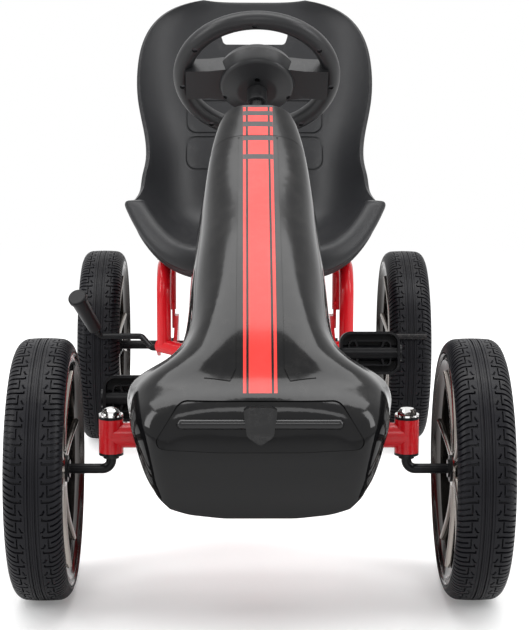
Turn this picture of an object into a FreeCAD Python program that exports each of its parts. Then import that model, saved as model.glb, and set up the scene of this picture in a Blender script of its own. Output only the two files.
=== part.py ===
"""Children's pedal go-kart: steel frame, steered front wheels, chain drive, bucket seat and nose fairing.

Millimetres, +Z up. The origin lies on the ground, midway along the kart's length. The front faces -Y,
so +X is the driver's left. Every sub-part is an object of one parametric document. The driving
dimensions stand in the spreadsheet "sizes", and each sub-part is written to parts/ as a STEP file.
"""
import FreeCAD, Part
import math
import os

import Sketcher

from FreeCAD import Placement, Rotation, Vector

os.makedirs("parts", exist_ok=True)

# --------------------------------------------------------------------------------------
# Driving dimensions
# --------------------------------------------------------------------------------------
SIZES = {
    # whole kart
    "wheelbase": 700.0,
    "nose_overhang": 120.0,
    "front_half_track": 212.0,
    "rear_half_track": 206.0,
    # wheels
    "tyre_radius": 130.0,
    "tyre_width": 56.0,
    "tyre_seat_radius": 90.0,
    "tyre_shoulder": 13.0,
    "tyre_crown_drop": 2.2,
    "groove_width": 2.4,
    "groove_depth": 2.6,
    "groove_pitch": 7.6,
    "rim_lip": 4.5,
    "rim_lip_width": 2.6,
    "rim_wall": 3.0,
    "spoke_count": 10.0,
    "spoke_width": 9.0,
    "spoke_depth": 9.0,
    "hub_radius": 19.0,
    "hub_length": 40.0,
    "stub_radius": 5.0,
    "wheel_bush_wall": 2.5,
    "wheel_bush_length": 16.0,
    "wheel_bush_flange": 2.0,
    "running_gap": 0.05,
    "seat_gap": 0.3,
    "wheel_nut_radius": 8.5,
    "wheel_nut_height": 8.0,
    "wheel_washer_radius": 12.0,
    "wheel_washer_height": 1.6,
    # front axle beam and kingpins
    "kingpin_half_span": 147.0,
    "head_tube_radius": 12.2,
    "head_tube_bottom": 147.0,
    "head_tube_height": 34.0,
    "beam_radius": 12.5,
    "tube_wall": 1.8,
    "head_bush_flange": 2.6,
    "head_bush_flange_radius": 12.2,
    "head_bush_depth": 9.0,
    "kingpin_bend": 14.0,
    "kingpin_cap_radius": 12.0,
    "kingpin_cap_flange": 1.8,
    "kingpin_dome_height": 7.0,
    "steering_arm_length": 46.0,
    "steering_arm_width": 16.0,
    "arm_thickness": 3.0,
    # main frame
    "main_tube_side": 30.0,
    "main_tube_top": 148.0,
    "main_tube_corner": 4.0,
    "rear_tube_ahead": 140.0,
    "cross_tube_radius": 9.0,
    "cross_tube_half": 122.0,
    "cross_tube_centre_ahead": 248.0,
    "cross_tube_end_ahead": 188.0,
    "cross_tube_end_rise": 6.0,
    "rear_tube_radius": 11.0,
    "bearing_plate_x": 106.0,
    "bearing_plate_thickness": 5.0,
    "seat_leg_radius": 9.0,
    "seat_leg_x": 116.0,
    "seat_leg_ahead": 200.0,
    "seat_stay_ahead": 10.0,
    "seat_rail_height": 262.0,
    "seat_rail_bend": 36.0,
    # axle and drive
    "axle_radius": 6.0,
    "axle_bush_wall": 2.5,
    "axle_bush_flange": 2.0,
    "stay_bolt_rise": 34.0,
    "stay_bolt_radius": 3.0,
    "bracket_thickness": 4.0,
    "ear_thickness": 4.0,
    "ear_margin": 5.0,
    "crank_y": 240.0,
    "crank_height": 178.0,
    "crank_arm": 76.0,
    "crank_radius": 6.0,
    "crank_offset": 87.0,
    "crank_shell_radius": 15.0,
    "crank_shell_half": 24.0,
    "crank_angle": 8.5,
    "chain_pitch": 12.7,
    "chain_roller": 7.6,
    "chain_width": 7.0,
    "chain_plate": 1.2,
    "chain_x": 34.0,
    "front_teeth": 24.0,
    "rear_teeth": 16.0,
    "sprocket_thickness": 3.0,
    "tooth_height": 2.6,
    "case_wall": 2.0,
    "case_half_width": 10.0,
    "case_margin": 8.0,
    # pedals
    "pedal_inner_x": 97.0,
    "pedal_width": 70.0,
    "pedal_length": 50.0,
    "pedal_thickness": 22.0,
    "pedal_wall": 3.0,
    "pedal_tilt": 10.0,
    # steering
    "column_angle": 42.0,
    "column_radius": 9.0,
    "wheel_hub_y": 360.0,
    "wheel_hub_z": 508.0,
    "wheel_radius": 97.0,
    "wheel_rim_tube": 10.5,
    "column_length": 452.0,
    "column_bush_wall": 2.0,
    "sleeve_start": 12.0,
    "sleeve_length": 26.0,
    "sleeve_radius": 13.5,
    "post_along_column": 230.0,
    "post_radius": 10.0,
    "pitman_length": 34.0,
    "column_stub": 8.0,
    "wheel_hub_radius": 46.0,
    "wheel_hub_depth": 26.0,
    "wheel_spoke_depth": 7.0,
    "wheel_spoke_back": 14.0,
    "wheel_neck_radius": 11.5,
    "wheel_neck_length": 20.0,
    "wheel_screw_radius": 3.2,
    "stud_half_span": 12.0,
    "stud_radius": 3.0,
    "stud_length": 6.0,
    "eye_radius": 9.0,
    "eye_slack": 0.3,
    "link_gap": 0.6,
    "tie_rod_radius": 4.0,
    "tie_ball_radius": 8.0,
    # handbrake
    "brake_radius": 4.0,
    "brake_pivot_ahead": 152.0,
    "brake_pivot_z": 153.0,
    "brake_bar_ahead": 134.0,
    "brake_bar_z": 165.0,
    "brake_lever_x": 203.0,
    "brake_lever_lean": 23.0,
    "brake_crank_x": 134.0,
    "brake_end_x": 225.0,
    "brake_grip_radius": 10.5,
    "brake_grip_length": 72.0,
    "brake_knob_radius": 12.0,
    # seat
    "seat_wall": 6.0,
    "seat_lift": 2.95,
    "seat_curl": 4.0,
    "pad_upper_rise": 181.0,
    "pad_lower_rise": 133.0,
    "pad_height": 45.0,
    "pad_half_width": 94.0,
    "pad_corner": 13.0,
    "pad_seam": 2.6,
    "pad_seam_depth": 1.4,
    "seat_slot_rise": 289.0,
    "seat_slot_back": 60.0,
    "seat_slot_width": 98.0,
    "seat_slot_height": 21.0,
    "seat_strap_front_ahead": 160.0,
    "seat_strap_rear_ahead": 100.0,
    "seat_strap_width": 24.0,
    "seat_bolt_x": 60.0,
    "seat_bolt_radius": 3.0,
    "seat_bolt_length": 16.4,
    # fairing
    "fairing_wall": 3.0,
    "nose_stay_z": 172.0,
    "nose_stay_width": 22.0,
    "ridge_stay_front": 34.0,
    "panel_depth": 1.3,
    "crease_width": 1.4,
    "crease_depth": 0.9,
    "nose_bar_radius": 5.0,
    "nose_bar_half": 73.0,
    "nose_bar_reach": 115.0,
    "nose_bar_z": 201.0,
    "shield_height": 10.0,
    "dash_cap_y": 192.5,
    "seam_width": 0.6,
    "nose_crown": 15.0,
    "nose_crown_z": 170.0,
    "nose_crown_reach": 58.0,
}

doc = FreeCAD.newDocument("pedal_kart")
sheet = doc.addObject("Spreadsheet::Sheet", "sizes")
for row, (alias, value) in enumerate(SIZES.items(), start=1):
    sheet.set(f"A{row}", alias)
    sheet.set(f"B{row}", str(value))
    sheet.setAlias(f"B{row}", alias)
doc.recompute()


class Sheet:
    """Reads a named size from the spreadsheet."""

    def __getattr__(self, alias):
        return float(doc.getObject("sizes").get(alias))


S = Sheet()
PARTS = []
X, Y, Z = Vector(1, 0, 0), Vector(0, 1, 0), Vector(0, 0, 1)

# --------------------------------------------------------------------------------------
# Places worked out from the driving dimensions
# --------------------------------------------------------------------------------------
FRONT_Y = -S.wheelbase / 2
REAR_Y = S.wheelbase / 2
AXLE_Z = S.tyre_radius
COLUMN_SLOPE = math.radians(S.column_angle)
COLUMN_UP = Vector(0, math.cos(COLUMN_SLOPE), math.sin(COLUMN_SLOPE))
COLUMN_DOWN_BACK = Vector(0, math.sin(COLUMN_SLOPE), -math.cos(COLUMN_SLOPE))
WHEEL_HUB = Vector(0, FRONT_Y + S.wheel_hub_y, S.wheel_hub_z)
COLUMN_FOOT = WHEEL_HUB - COLUMN_UP * S.column_length
CRANK = Vector(0, FRONT_Y + S.crank_y, S.crank_height)
HEAD_TOP = S.head_tube_bottom + S.head_tube_height
BEAM_Z = S.head_tube_bottom + S.head_tube_height / 2
STAY_BOLT_Z = AXLE_Z + S.stay_bolt_rise
BEARING_OUTER = S.bearing_plate_x + S.bearing_plate_thickness / 2
MAIN_TUBE_Z = S.main_tube_top - S.main_tube_side / 2
# The rear of the frame and the seat are set out from the rear axle, as distances behind the front one.
REAR_TUBE = S.wheelbase - S.rear_tube_ahead
CROSS_TUBE_CENTRE = S.wheelbase - S.cross_tube_centre_ahead
CROSS_TUBE_END = S.wheelbase - S.cross_tube_end_ahead
SEAT_LEG = S.wheelbase - S.seat_leg_ahead
SEAT_STAY = S.wheelbase - S.seat_stay_ahead
BRAKE_PIVOT = S.wheelbase - S.brake_pivot_ahead
BRAKE_BAR = S.wheelbase - S.brake_bar_ahead


# --------------------------------------------------------------------------------------
# Helpers
# --------------------------------------------------------------------------------------
def turned(direction):
    """The rotation that lays a feature's own Z axis along a direction."""
    return Rotation(Z, direction)


def mirrored(point):
    """The same point on the other side of the kart."""
    return Vector(-point.x, point.y, point.z)


def bind(feature, **expressions):
    """Ties properties of a feature to spreadsheet cells."""
    for name, expression in expressions.items():
        if expression:
            feature.setExpression(name, expression)
    return feature


def cylinder(name, radius, length, base=Vector(), direction=Z):
    """A cylinder whose radius and height follow expressions on the sheet."""
    rod = doc.addObject("Part::Cylinder", name)
    bind(rod, Radius=radius, Height=length)
    rod.Placement = Placement(base, turned(direction))
    return rod


def box(name, length, width, height, base):
    """A box whose sides follow expressions on the sheet."""
    block = doc.addObject("Part::Box", name)
    bind(block, Length=length, Width=width, Height=height)
    block.Placement = Placement(base, Rotation())
    return block


def cut(name, body, *tools):
    """The body with every tool taken away."""
    for number, tool in enumerate(tools):
        result = doc.addObject("Part::Cut", f"{name}_cut_{number}")
        result.Base = body
        result.Tool = tool
        body = result
    return body


def join(name, *bodies):
    """One welded or moulded solid from several overlapping ones."""
    result = doc.addObject("Part::MultiFuse", f"{name}_fuse")
    result.Shapes = list(bodies)
    result.Refine = True
    return result


def feature(name, shape):
    """A feature that holds a shape made with Part's own functions."""
    holder = doc.addObject("Part::Feature", name)
    holder.Shape = shape
    return holder


def part(name, source):
    """Registers a finished feature as the sub-part of this name."""
    source.Label = name
    PARTS.append(source)
    return source


def group(name, bodies):
    """Identical separate solids that share one node."""
    bundle = doc.addObject("Part::Compound", f"{name}_group")
    bundle.Links = list(bodies)
    return part(name, bundle)


def smooth_path(points, radius):
    """A wire of straight runs joined by tangent arcs of one radius (or one radius per corner)."""
    radii = radius if isinstance(radius, list) else [radius] * (len(points) - 2)
    edges = []
    start = points[0]
    for corner, ahead, bend in zip(points[1:-1], points[2:], radii):
        back = (start - corner).normalize()
        onward = (ahead - corner).normalize()
        half = back.getAngle(onward) / 2
        reach = bend / math.tan(half)
        first, last = corner + back * reach, corner + onward * reach
        middle = corner + (back + onward).normalize() * (bend / math.sin(half) - bend)
        edges.append(Part.LineSegment(start, first).toShape())
        edges.append(Part.Arc(first, middle, last).toShape())
        start = last
    edges.append(Part.LineSegment(start, points[-1]).toShape())
    return Part.Wire(edges)


def bent_rod(name, radius, points, bend):
    """A round bar swept along a path of straight runs and tangent arcs."""
    spine = feature(f"{name}_spine", smooth_path(points, bend))
    section = doc.addObject("Part::Circle", f"{name}_section")
    bind(section, Radius=radius)
    section.Placement = Placement(points[0], turned(points[1] - points[0]))
    bar = doc.addObject("Part::Sweep", f"{name}_sweep")
    bar.Sections = [section]
    bar.Spine = (spine, [f"Edge{number + 1}" for number in range(len(spine.Shape.Edges))])
    bar.Solid = True
    bar.Frenet = False
    return bar


def outline(corners):
    """Part curves of a closed outline; each corner is (x, y, radius)."""
    curves = []
    count = len(corners)
    ends = []
    for index in range(count):
        here = Vector(corners[index][0], corners[index][1], 0)
        before = Vector(corners[index - 1][0], corners[index - 1][1], 0)
        after = Vector(corners[(index + 1) % count][0], corners[(index + 1) % count][1], 0)
        radius = corners[index][2]
        if radius <= 0:
            ends.append((here, here))
            continue
        back = (before - here).normalize()
        onward = (after - here).normalize()
        half = back.getAngle(onward) / 2
        reach = radius / math.tan(half)
        first, last = here + back * reach, here + onward * reach
        middle = here + (back + onward).normalize() * (radius / math.sin(half) - radius)
        ends.append((first, last))
        curves.append(Part.Arc(first, middle, last))
    for index in range(count):
        start, finish = ends[index][1], ends[(index + 1) % count][0]
        if (finish - start).Length > 1e-6:
            curves.append(Part.LineSegment(start, finish))
    return curves


def wire_of(curves):
    """One closed wire from loose curves."""
    return Part.Wire(Part.__sortEdges__([curve.toShape() for curve in curves]))


def ring_face(outside, inside):
    """A flat face with one opening."""
    return Part.Face(wire_of(outside)).cut(Part.Face(wire_of(inside))).Faces[0]


def body_with_sketch(name, plane, curves, placement=None):
    """A PartDesign body that starts with one sketch on an origin plane."""
    body = doc.addObject("PartDesign::Body", name)
    if placement:
        body.Placement = placement
    return body, sketch_in(body, plane, f"{name}_profile", curves)


def sketch_in(body, plane, name, curves, offset=0.0):
    """A sketch of given curves on one of the body's own origin planes."""
    sketch = body.newObject("Sketcher::SketchObject", name)
    support = next(item for item in body.Origin.OriginFeatures if item.Role == plane)
    sketch.AttachmentSupport = [(support, "")]
    sketch.MapMode = "FlatFace"
    sketch.AttachmentOffset = Placement(Vector(0, 0, offset), Rotation())
    sketch.addGeometry(curves, False)
    return sketch


def circle_in(sketch, x, y, radius):
    """A circle in a sketch, with its radius held by an expression."""
    number = sketch.addGeometry(Part.Circle(Vector(x, y, 0), Z, 5.0), False)
    place = sketch.addConstraint(Sketcher.Constraint("Radius", number, 5.0))
    sketch.setExpression(f"Constraints[{place}]", radius)


def pad(body, sketch, length, symmetric=False, reverse=False):
    """An extrusion of a sketch."""
    solid = body.newObject("PartDesign::Pad", f"{sketch.Name}_pad")
    solid.Profile = sketch
    bind(solid, Length=length)
    solid.Midplane = symmetric
    solid.Reversed = reverse
    return solid


def pocket(body, sketch, length=None, symmetric=False, reverse=False):
    """A cut along a sketch, right through when no length is given."""
    hole = body.newObject("PartDesign::Pocket", f"{sketch.Name}_pocket")
    hole.Profile = sketch
    hole.Midplane = symmetric
    hole.Reversed = reverse
    if length:
        bind(hole, Length=length)
    else:
        hole.Type = 1
    return hole


def extruded(name, curves, height, placement):
    """A plate of any outline, made from a closed set of curves."""
    face = Part.Face(wire_of(curves))
    plate = feature(name, face.extrude(Vector(0, 0, height)))
    plate.Placement = placement
    return plate


def revolved(name, curves, placement):
    """A ring or disc turned about its own Z axis; the outline lies at x = radius, y = height."""
    face = Part.Face(wire_of(curves))
    face.rotate(Vector(), X, 90)
    ring = feature(name, face.revolve(Vector(), Z, 360))
    ring.Placement = placement
    return ring


# --------------------------------------------------------------------------------------
# Frame
# --------------------------------------------------------------------------------------
def at(x, y, z):
    """A point given by its distance behind the front axle."""
    return Vector(x, FRONT_Y + y, z)


def main_tube():
    """The square backbone, open at both ends."""
    half = S.main_tube_side / 2
    corner = S.main_tube_corner
    start = -S.beam_radius
    place = Placement(at(0, start, MAIN_TUBE_Z), Rotation(X, -90))
    body, profile = body_with_sketch("main_tube_body", "XY_Plane", outline(
        [(-half, -half, corner), (half, -half, corner), (half, half, corner), (-half, half, corner)]), place)
    inner = half - S.tube_wall
    profile.addGeometry(outline([(-inner, -inner, corner / 2), (inner, -inner, corner / 2),
                                 (inner, inner, corner / 2), (-inner, inner, corner / 2)]), False)
    pad(body, profile, "sizes.wheelbase - sizes.rear_tube_ahead + sizes.beam_radius")
    part("main_tube", body)


def front_axle_beam():
    """Beam, kingpin head tubes and the bracket that carries the foot of the steering column."""
    span = S.kingpin_half_span
    tubes = [cylinder("beam", "sizes.beam_radius", "sizes.kingpin_half_span * 2", at(-span, 0, BEAM_Z), X)]
    bores = [cylinder("beam_bore", "sizes.beam_radius - sizes.tube_wall",
                      "sizes.kingpin_half_span * 2 - sizes.head_tube_radius * 2",
                      at(-span + S.head_tube_radius, 0, BEAM_Z), X)]
    for side, sign in (("left", 1), ("right", -1)):
        foot = at(sign * span, 0, S.head_tube_bottom)
        tubes.append(cylinder(f"head_tube_{side}", "sizes.head_tube_radius", "sizes.head_tube_height", foot))
        bores.append(cylinder(f"head_bore_{side}", "sizes.head_tube_radius - sizes.tube_wall",
                              "sizes.head_tube_height", foot))
    flat = S.main_tube_side / 2 - S.main_tube_corner
    saddle = box("beam_saddle", "sizes.main_tube_side - 2 * sizes.main_tube_corner", "sizes.beam_radius * 2",
                 None, at(-flat, -S.beam_radius, S.main_tube_top))
    saddle.Height = BEAM_Z - S.main_tube_top
    tubes.append(saddle)
    sleeve_foot = COLUMN_FOOT + COLUMN_UP * S.sleeve_start
    sleeve = cylinder("lower_sleeve", "sizes.sleeve_radius", "sizes.sleeve_length", sleeve_foot, COLUMN_UP)
    sleeve_bore = cylinder("lower_sleeve_bore", "sizes.column_radius + sizes.column_bush_wall",
                           "sizes.sleeve_length", sleeve_foot, COLUMN_UP)
    middle = sleeve_foot + COLUMN_UP * (S.sleeve_length / 2) - COLUMN_DOWN_BACK * S.sleeve_radius
    leg, lift = S.beam_radius * 0.8, middle.z
    reach = middle.y - FRONT_Y
    plate = extruded("column_bracket", outline([
        (-leg, BEAM_Z, 0), (leg * 0.7, BEAM_Z, 0), (leg * 0.7, lift - 12, 4), (reach - 6, lift - 3, 0),
        (reach + 8, lift + 6, 0), (reach, lift + 12, 5), (-leg, lift + 6, 8)]),
        S.bracket_thickness, Placement(at(-S.bracket_thickness / 2, 0, 0), Rotation(Vector(1, 1, 1), 120)))
    nose = min(hood_inside(), key=lambda point: abs(point.z - S.nose_stay_z)) + Y * (S.seat_gap * 2)
    side = S.nose_stay_width / 2
    bar = box("nose_stay", "sizes.nose_stay_width", None, "sizes.bracket_thickness",
              Vector(-side, nose.y, nose.z))
    bar.Width = FRONT_Y - nose.y
    pad_plate = box("nose_stay_plate", "sizes.nose_stay_width", "sizes.bracket_thickness",
                    "sizes.nose_stay_width", Vector(-side, nose.y, nose.z - side))
    welded = join("front_axle_beam", *tubes, sleeve, plate, bar, pad_plate)
    part("front_axle_beam", cut("front_axle_beam", welded, *bores, sleeve_bore))


def column_post():
    """The upright on the backbone with the upper sleeve of the steering column."""
    centre = COLUMN_FOOT + COLUMN_UP * S.post_along_column
    start = centre - COLUMN_UP * (S.sleeve_length / 2)
    foot = Vector(0, centre.y, S.main_tube_top)
    post = cylinder("post", "sizes.post_radius", None, foot)
    post.Height = centre.z - S.main_tube_top
    flange = box("post_foot", "sizes.main_tube_side - 2 * sizes.main_tube_corner", "sizes.post_radius * 4",
                 "sizes.bracket_thickness",
                 foot - Vector(S.main_tube_side / 2 - S.main_tube_corner, S.post_radius * 2, 0))
    sleeve = cylinder("upper_sleeve", "sizes.sleeve_radius", "sizes.sleeve_length", start, COLUMN_UP)
    bore = cylinder("upper_sleeve_bore", "sizes.column_radius + sizes.column_bush_wall",
                    "sizes.sleeve_length * 3", start - COLUMN_UP * S.sleeve_length, COLUMN_UP)
    ridge = [(point.y, point.z, 0) for point in hood_inside()
             if centre.y - S.ridge_stay_front < point.y < centre.y + S.post_radius]
    crest = centre - COLUMN_DOWN_BACK * (S.sleeve_radius - 1)
    foot_ends = [crest - COLUMN_UP * (S.sleeve_length * 0.4), crest + COLUMN_UP * (S.sleeve_length * 0.4)]
    stay = extruded("ridge_stay", outline([(end.y, end.z, 0) for end in foot_ends] + ridge[::-1]),
                    S.bracket_thickness,
                    Placement(Vector(-S.bracket_thickness / 2, 0, 0), Rotation(Vector(1, 1, 1), 120)))
    part("column_post", cut("column_post", join("column_post", post, flange, sleeve, stay), bore))


def crank_bracket():
    """The bottom bracket shell on two cheeks that stand on the backbone."""
    half = S.crank_shell_half
    shell = cylinder("crank_shell", "sizes.crank_shell_radius", "sizes.crank_shell_half * 2",
                     CRANK - X * half, X)
    flat = S.main_tube_side / 2 - S.main_tube_corner
    cheeks = box("crank_cheeks", "sizes.main_tube_side - 2 * sizes.main_tube_corner",
                 "sizes.crank_shell_radius * 2", None,
                 Vector(-flat, CRANK.y - S.crank_shell_radius, S.main_tube_top))
    cheeks.Height = CRANK.z - S.main_tube_top
    bore = cylinder("crank_shell_bore", "sizes.crank_radius + sizes.axle_bush_wall",
                    "sizes.crank_shell_half * 2", CRANK - X * half, X)
    part("crank_bracket", cut("crank_bracket", join("crank_bracket", shell, cheeks), bore))


def seat_frame():
    """Bowed cross tube with brake ears, and an inverted U tube under each side of the seat."""
    low = S.main_tube_top + S.cross_tube_radius
    end = at(S.cross_tube_half, CROSS_TUBE_END, low + S.cross_tube_end_rise)
    centre = at(0, CROSS_TUBE_CENTRE, low)
    knee = at(S.cross_tube_half * 0.42, CROSS_TUBE_CENTRE, low)
    bow_path = [mirrored(end), mirrored(knee), knee, end]
    solids = [bent_rod("cross_tube", "sizes.cross_tube_radius", bow_path, S.cross_tube_half * 0.4)]
    hollows = [bent_rod("cross_tube_bore", "sizes.cross_tube_radius - sizes.tube_wall", bow_path,
                        S.cross_tube_half * 0.4)]
    for side, sign in (("left", 1), ("right", -1)):
        x = sign * S.seat_leg_x
        share = (S.seat_leg_x - knee.x) / (end.x - knee.x)
        foot = at(x, knee.y + (end.y - knee.y) * share - FRONT_Y, knee.z + (end.z - knee.z) * share)
        foot.y = min(foot.y, at(0, SEAT_LEG, 0).y + S.cross_tube_radius)
        loop = [foot, Vector(x, foot.y, S.seat_rail_height), at(x, SEAT_STAY, S.seat_rail_height),
                at(x, SEAT_STAY, STAY_BOLT_Z + S.seat_leg_radius * 2)]
        solids.append(bent_rod(f"seat_loop_{side}", "sizes.seat_leg_radius", loop, S.seat_rail_bend))
        hollows.append(bent_rod(f"seat_loop_bore_{side}", "sizes.seat_leg_radius - sizes.tube_wall", loop,
                                S.seat_rail_bend))
        face = BEARING_OUTER
        inner = face if sign > 0 else -face - S.bracket_thickness
        tab = S.seat_leg_radius
        solids.append(extruded(f"stay_end_{side}", outline([
            (SEAT_STAY - tab, STAY_BOLT_Z + tab * 3.2, 3), (SEAT_STAY - tab, STAY_BOLT_Z - tab, tab * 0.95),
            (SEAT_STAY + tab, STAY_BOLT_Z - tab, tab * 0.95), (SEAT_STAY + tab, STAY_BOLT_Z + tab * 3.2, 3)]),
            S.bracket_thickness, Placement(at(inner, 0, 0), Rotation(Vector(1, 1, 1), 120))))
        ear_x = end.x if sign > 0 else -end.x - S.ear_thickness
        ear = S.brake_radius + S.ear_margin
        top = end.z + S.cross_tube_radius * 0.6
        solids.append(extruded(f"brake_ear_{side}", outline([
            (CROSS_TUBE_END - 7, top, 3), (CROSS_TUBE_END - 7, end.z - 6, 4),
            (BRAKE_PIVOT - ear, S.brake_pivot_z - ear, ear * 0.9),
            (BRAKE_PIVOT + ear, S.brake_pivot_z - ear, ear * 0.9),
            (BRAKE_PIVOT + ear, S.brake_pivot_z + ear, ear * 0.9), (CROSS_TUBE_END + 6, top, 5)]),
            S.ear_thickness, Placement(at(ear_x, 0, 0), Rotation(Vector(1, 1, 1), 120))))
    bolt = cylinder("stay_holes", "sizes.stay_bolt_radius + sizes.running_gap", "sizes.seat_leg_x * 3",
                    at(-S.seat_leg_x * 1.5, SEAT_STAY, STAY_BOLT_Z), X)
    pivot = cylinder("ear_holes", "sizes.brake_radius + sizes.running_gap", "sizes.cross_tube_half * 3",
                     at(-S.cross_tube_half * 1.5, BRAKE_PIVOT, S.brake_pivot_z), X)
    part("seat_frame", cut("seat_frame", join("seat_frame", *solids), *hollows, bolt, pivot))


def rear_frame():
    """Cross tube behind the backbone with the two rear axle bearing plates."""
    y = REAR_TUBE + S.rear_tube_radius
    x = S.bearing_plate_x
    tube = cylinder("rear_tube", "sizes.rear_tube_radius", "sizes.bearing_plate_x * 2",
                    at(-x, y, MAIN_TUBE_Z), X)
    bore = cylinder("rear_tube_bore", "sizes.rear_tube_radius - sizes.tube_wall",
                    "sizes.bearing_plate_x * 2", at(-x, y, MAIN_TUBE_Z), X)
    solids = [tube]
    half = S.bearing_plate_thickness / 2
    top, axle_end = STAY_BOLT_Z + 10, S.wheelbase + 16
    for side, sign in (("left", 1), ("right", -1)):
        solids.append(extruded(f"bearing_plate_{side}", outline([
            (y - 14, MAIN_TUBE_Z - 14, 8), (S.wheelbase, AXLE_Z - 18, 8), (axle_end, AXLE_Z - 10, 8),
            (axle_end, AXLE_Z + 12, 6), (SEAT_STAY + 12, top, 8), (SEAT_STAY - 12, top, 8),
            (y + 40, MAIN_TUBE_Z + 14, 20), (y - 14, MAIN_TUBE_Z + 14, 8)]),
            S.bearing_plate_thickness, Placement(at(sign * x - half, 0, 0), Rotation(Vector(1, 1, 1), 120))))
    axle_hole = cylinder("axle_holes", "sizes.axle_radius + sizes.axle_bush_wall",
                         "sizes.bearing_plate_x * 3", at(-x * 1.5, S.wheelbase, AXLE_Z), X)
    bolt_hole = cylinder("bearing_bolt_holes", "sizes.stay_bolt_radius + sizes.running_gap",
                         "sizes.bearing_plate_x * 3", at(-x * 1.5, SEAT_STAY, STAY_BOLT_Z), X)
    part("rear_frame", cut("rear_frame", join("rear_frame", *solids), bore, axle_hole, bolt_hole))


# --------------------------------------------------------------------------------------
# Bushes
# --------------------------------------------------------------------------------------
def bush(name, bore, outer, length, flange_radius, flange, base, direction):
    """A flanged plain bush: the flange stands on the mouth at base and the barrel goes into it."""
    barrel = cylinder(f"{name}_barrel", outer, length, base - direction * 1.0, direction)
    barrel.Placement.Base = base
    collar = cylinder(f"{name}_collar", flange_radius, flange, base, direction * -1)
    hole = cylinder(f"{name}_bore", bore, None, base - direction * 20, direction)
    hole.Height = 80
    return cut(name, join(name, barrel, collar), hole)


def bushes():
    """Every plain bush that sits in the frame."""
    heads = []
    for side, sign in (("left", 1), ("right", -1)):
        for end, z, way in (("top", HEAD_TOP, -1), ("bottom", S.head_tube_bottom, 1)):
            heads.append(bush(f"head_bush_{side}_{end}", "sizes.stub_radius + sizes.running_gap",
                              "sizes.head_tube_radius - sizes.tube_wall", "sizes.head_bush_depth",
                              "sizes.head_bush_flange_radius", "sizes.head_bush_flange",
                              at(sign * S.kingpin_half_span, 0, z), Z * way))
    group("kingpin_bushes", heads)
    columns = []
    for name, along in (("lower", S.sleeve_start + S.sleeve_length),
                        ("upper", S.post_along_column + S.sleeve_length / 2)):
        columns.append(bush(f"column_bush_{name}", "sizes.column_radius + sizes.running_gap",
                            "sizes.column_radius + sizes.column_bush_wall", "sizes.sleeve_length",
                            "sizes.sleeve_radius", "sizes.axle_bush_flange",
                            COLUMN_FOOT + COLUMN_UP * along, COLUMN_UP * -1))
    group("column_bushes", columns)
    cranks = []
    axles = []
    for side, sign in (("left", 1), ("right", -1)):
        cranks.append(bush(f"crank_bush_{side}", "sizes.crank_radius + sizes.running_gap",
                           "sizes.crank_radius + sizes.axle_bush_wall", "sizes.crank_shell_half * 0.6",
                           "sizes.crank_shell_radius * 0.8", "sizes.axle_bush_flange",
                           CRANK + X * sign * S.crank_shell_half, X * -sign))
        axles.append(bush(f"axle_bush_{side}", "sizes.axle_radius + sizes.running_gap",
                          "sizes.axle_radius + sizes.axle_bush_wall", "sizes.bearing_plate_thickness",
                          "sizes.axle_radius * 2", "sizes.axle_bush_flange",
                          at(sign * BEARING_OUTER, S.wheelbase, AXLE_Z), X * -sign))
    group("crank_bushes", cranks)
    group("rear_axle_bushes", axles)


# --------------------------------------------------------------------------------------
# Wheels
# --------------------------------------------------------------------------------------
def tyre_curves():
    """Half-round shouldered tread section with ribs, at x = radius and y = width."""
    half = S.tyre_width / 2
    outer, seat = S.tyre_radius, S.tyre_seat_radius
    drop, shoulder = S.tyre_crown_drop, S.tyre_shoulder
    bead = seat + S.rim_lip + S.seat_gap
    corners = [(seat, -half + 4, 0.8), (bead, -half + 4, 0), (bead + 8, -half + 0.5, 5),
               (outer - shoulder - 4, -half, 8),
               (outer - drop - 1.5, -half + shoulder * 0.45, shoulder * 0.55)]
    for centre in (-S.groove_pitch, 0.0, S.groove_pitch):
        deep = outer - S.groove_depth
        side = S.groove_width / 2
        corners += [(outer - 0.0006 * centre ** 2, centre - side, 0), (deep, centre - side * 0.5, 0),
                    (deep, centre + side * 0.5, 0), (outer - 0.0006 * centre ** 2, centre + side, 0)]
    corners += [(outer - drop - 1.5, half - shoulder * 0.45, shoulder * 0.55),
                (outer - shoulder - 4, half, 8), (bead + 8, half - 0.5, 5), (bead, half - 4, 0),
                (seat, half - 4, 0.8)]
    return outline(corners)


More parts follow.
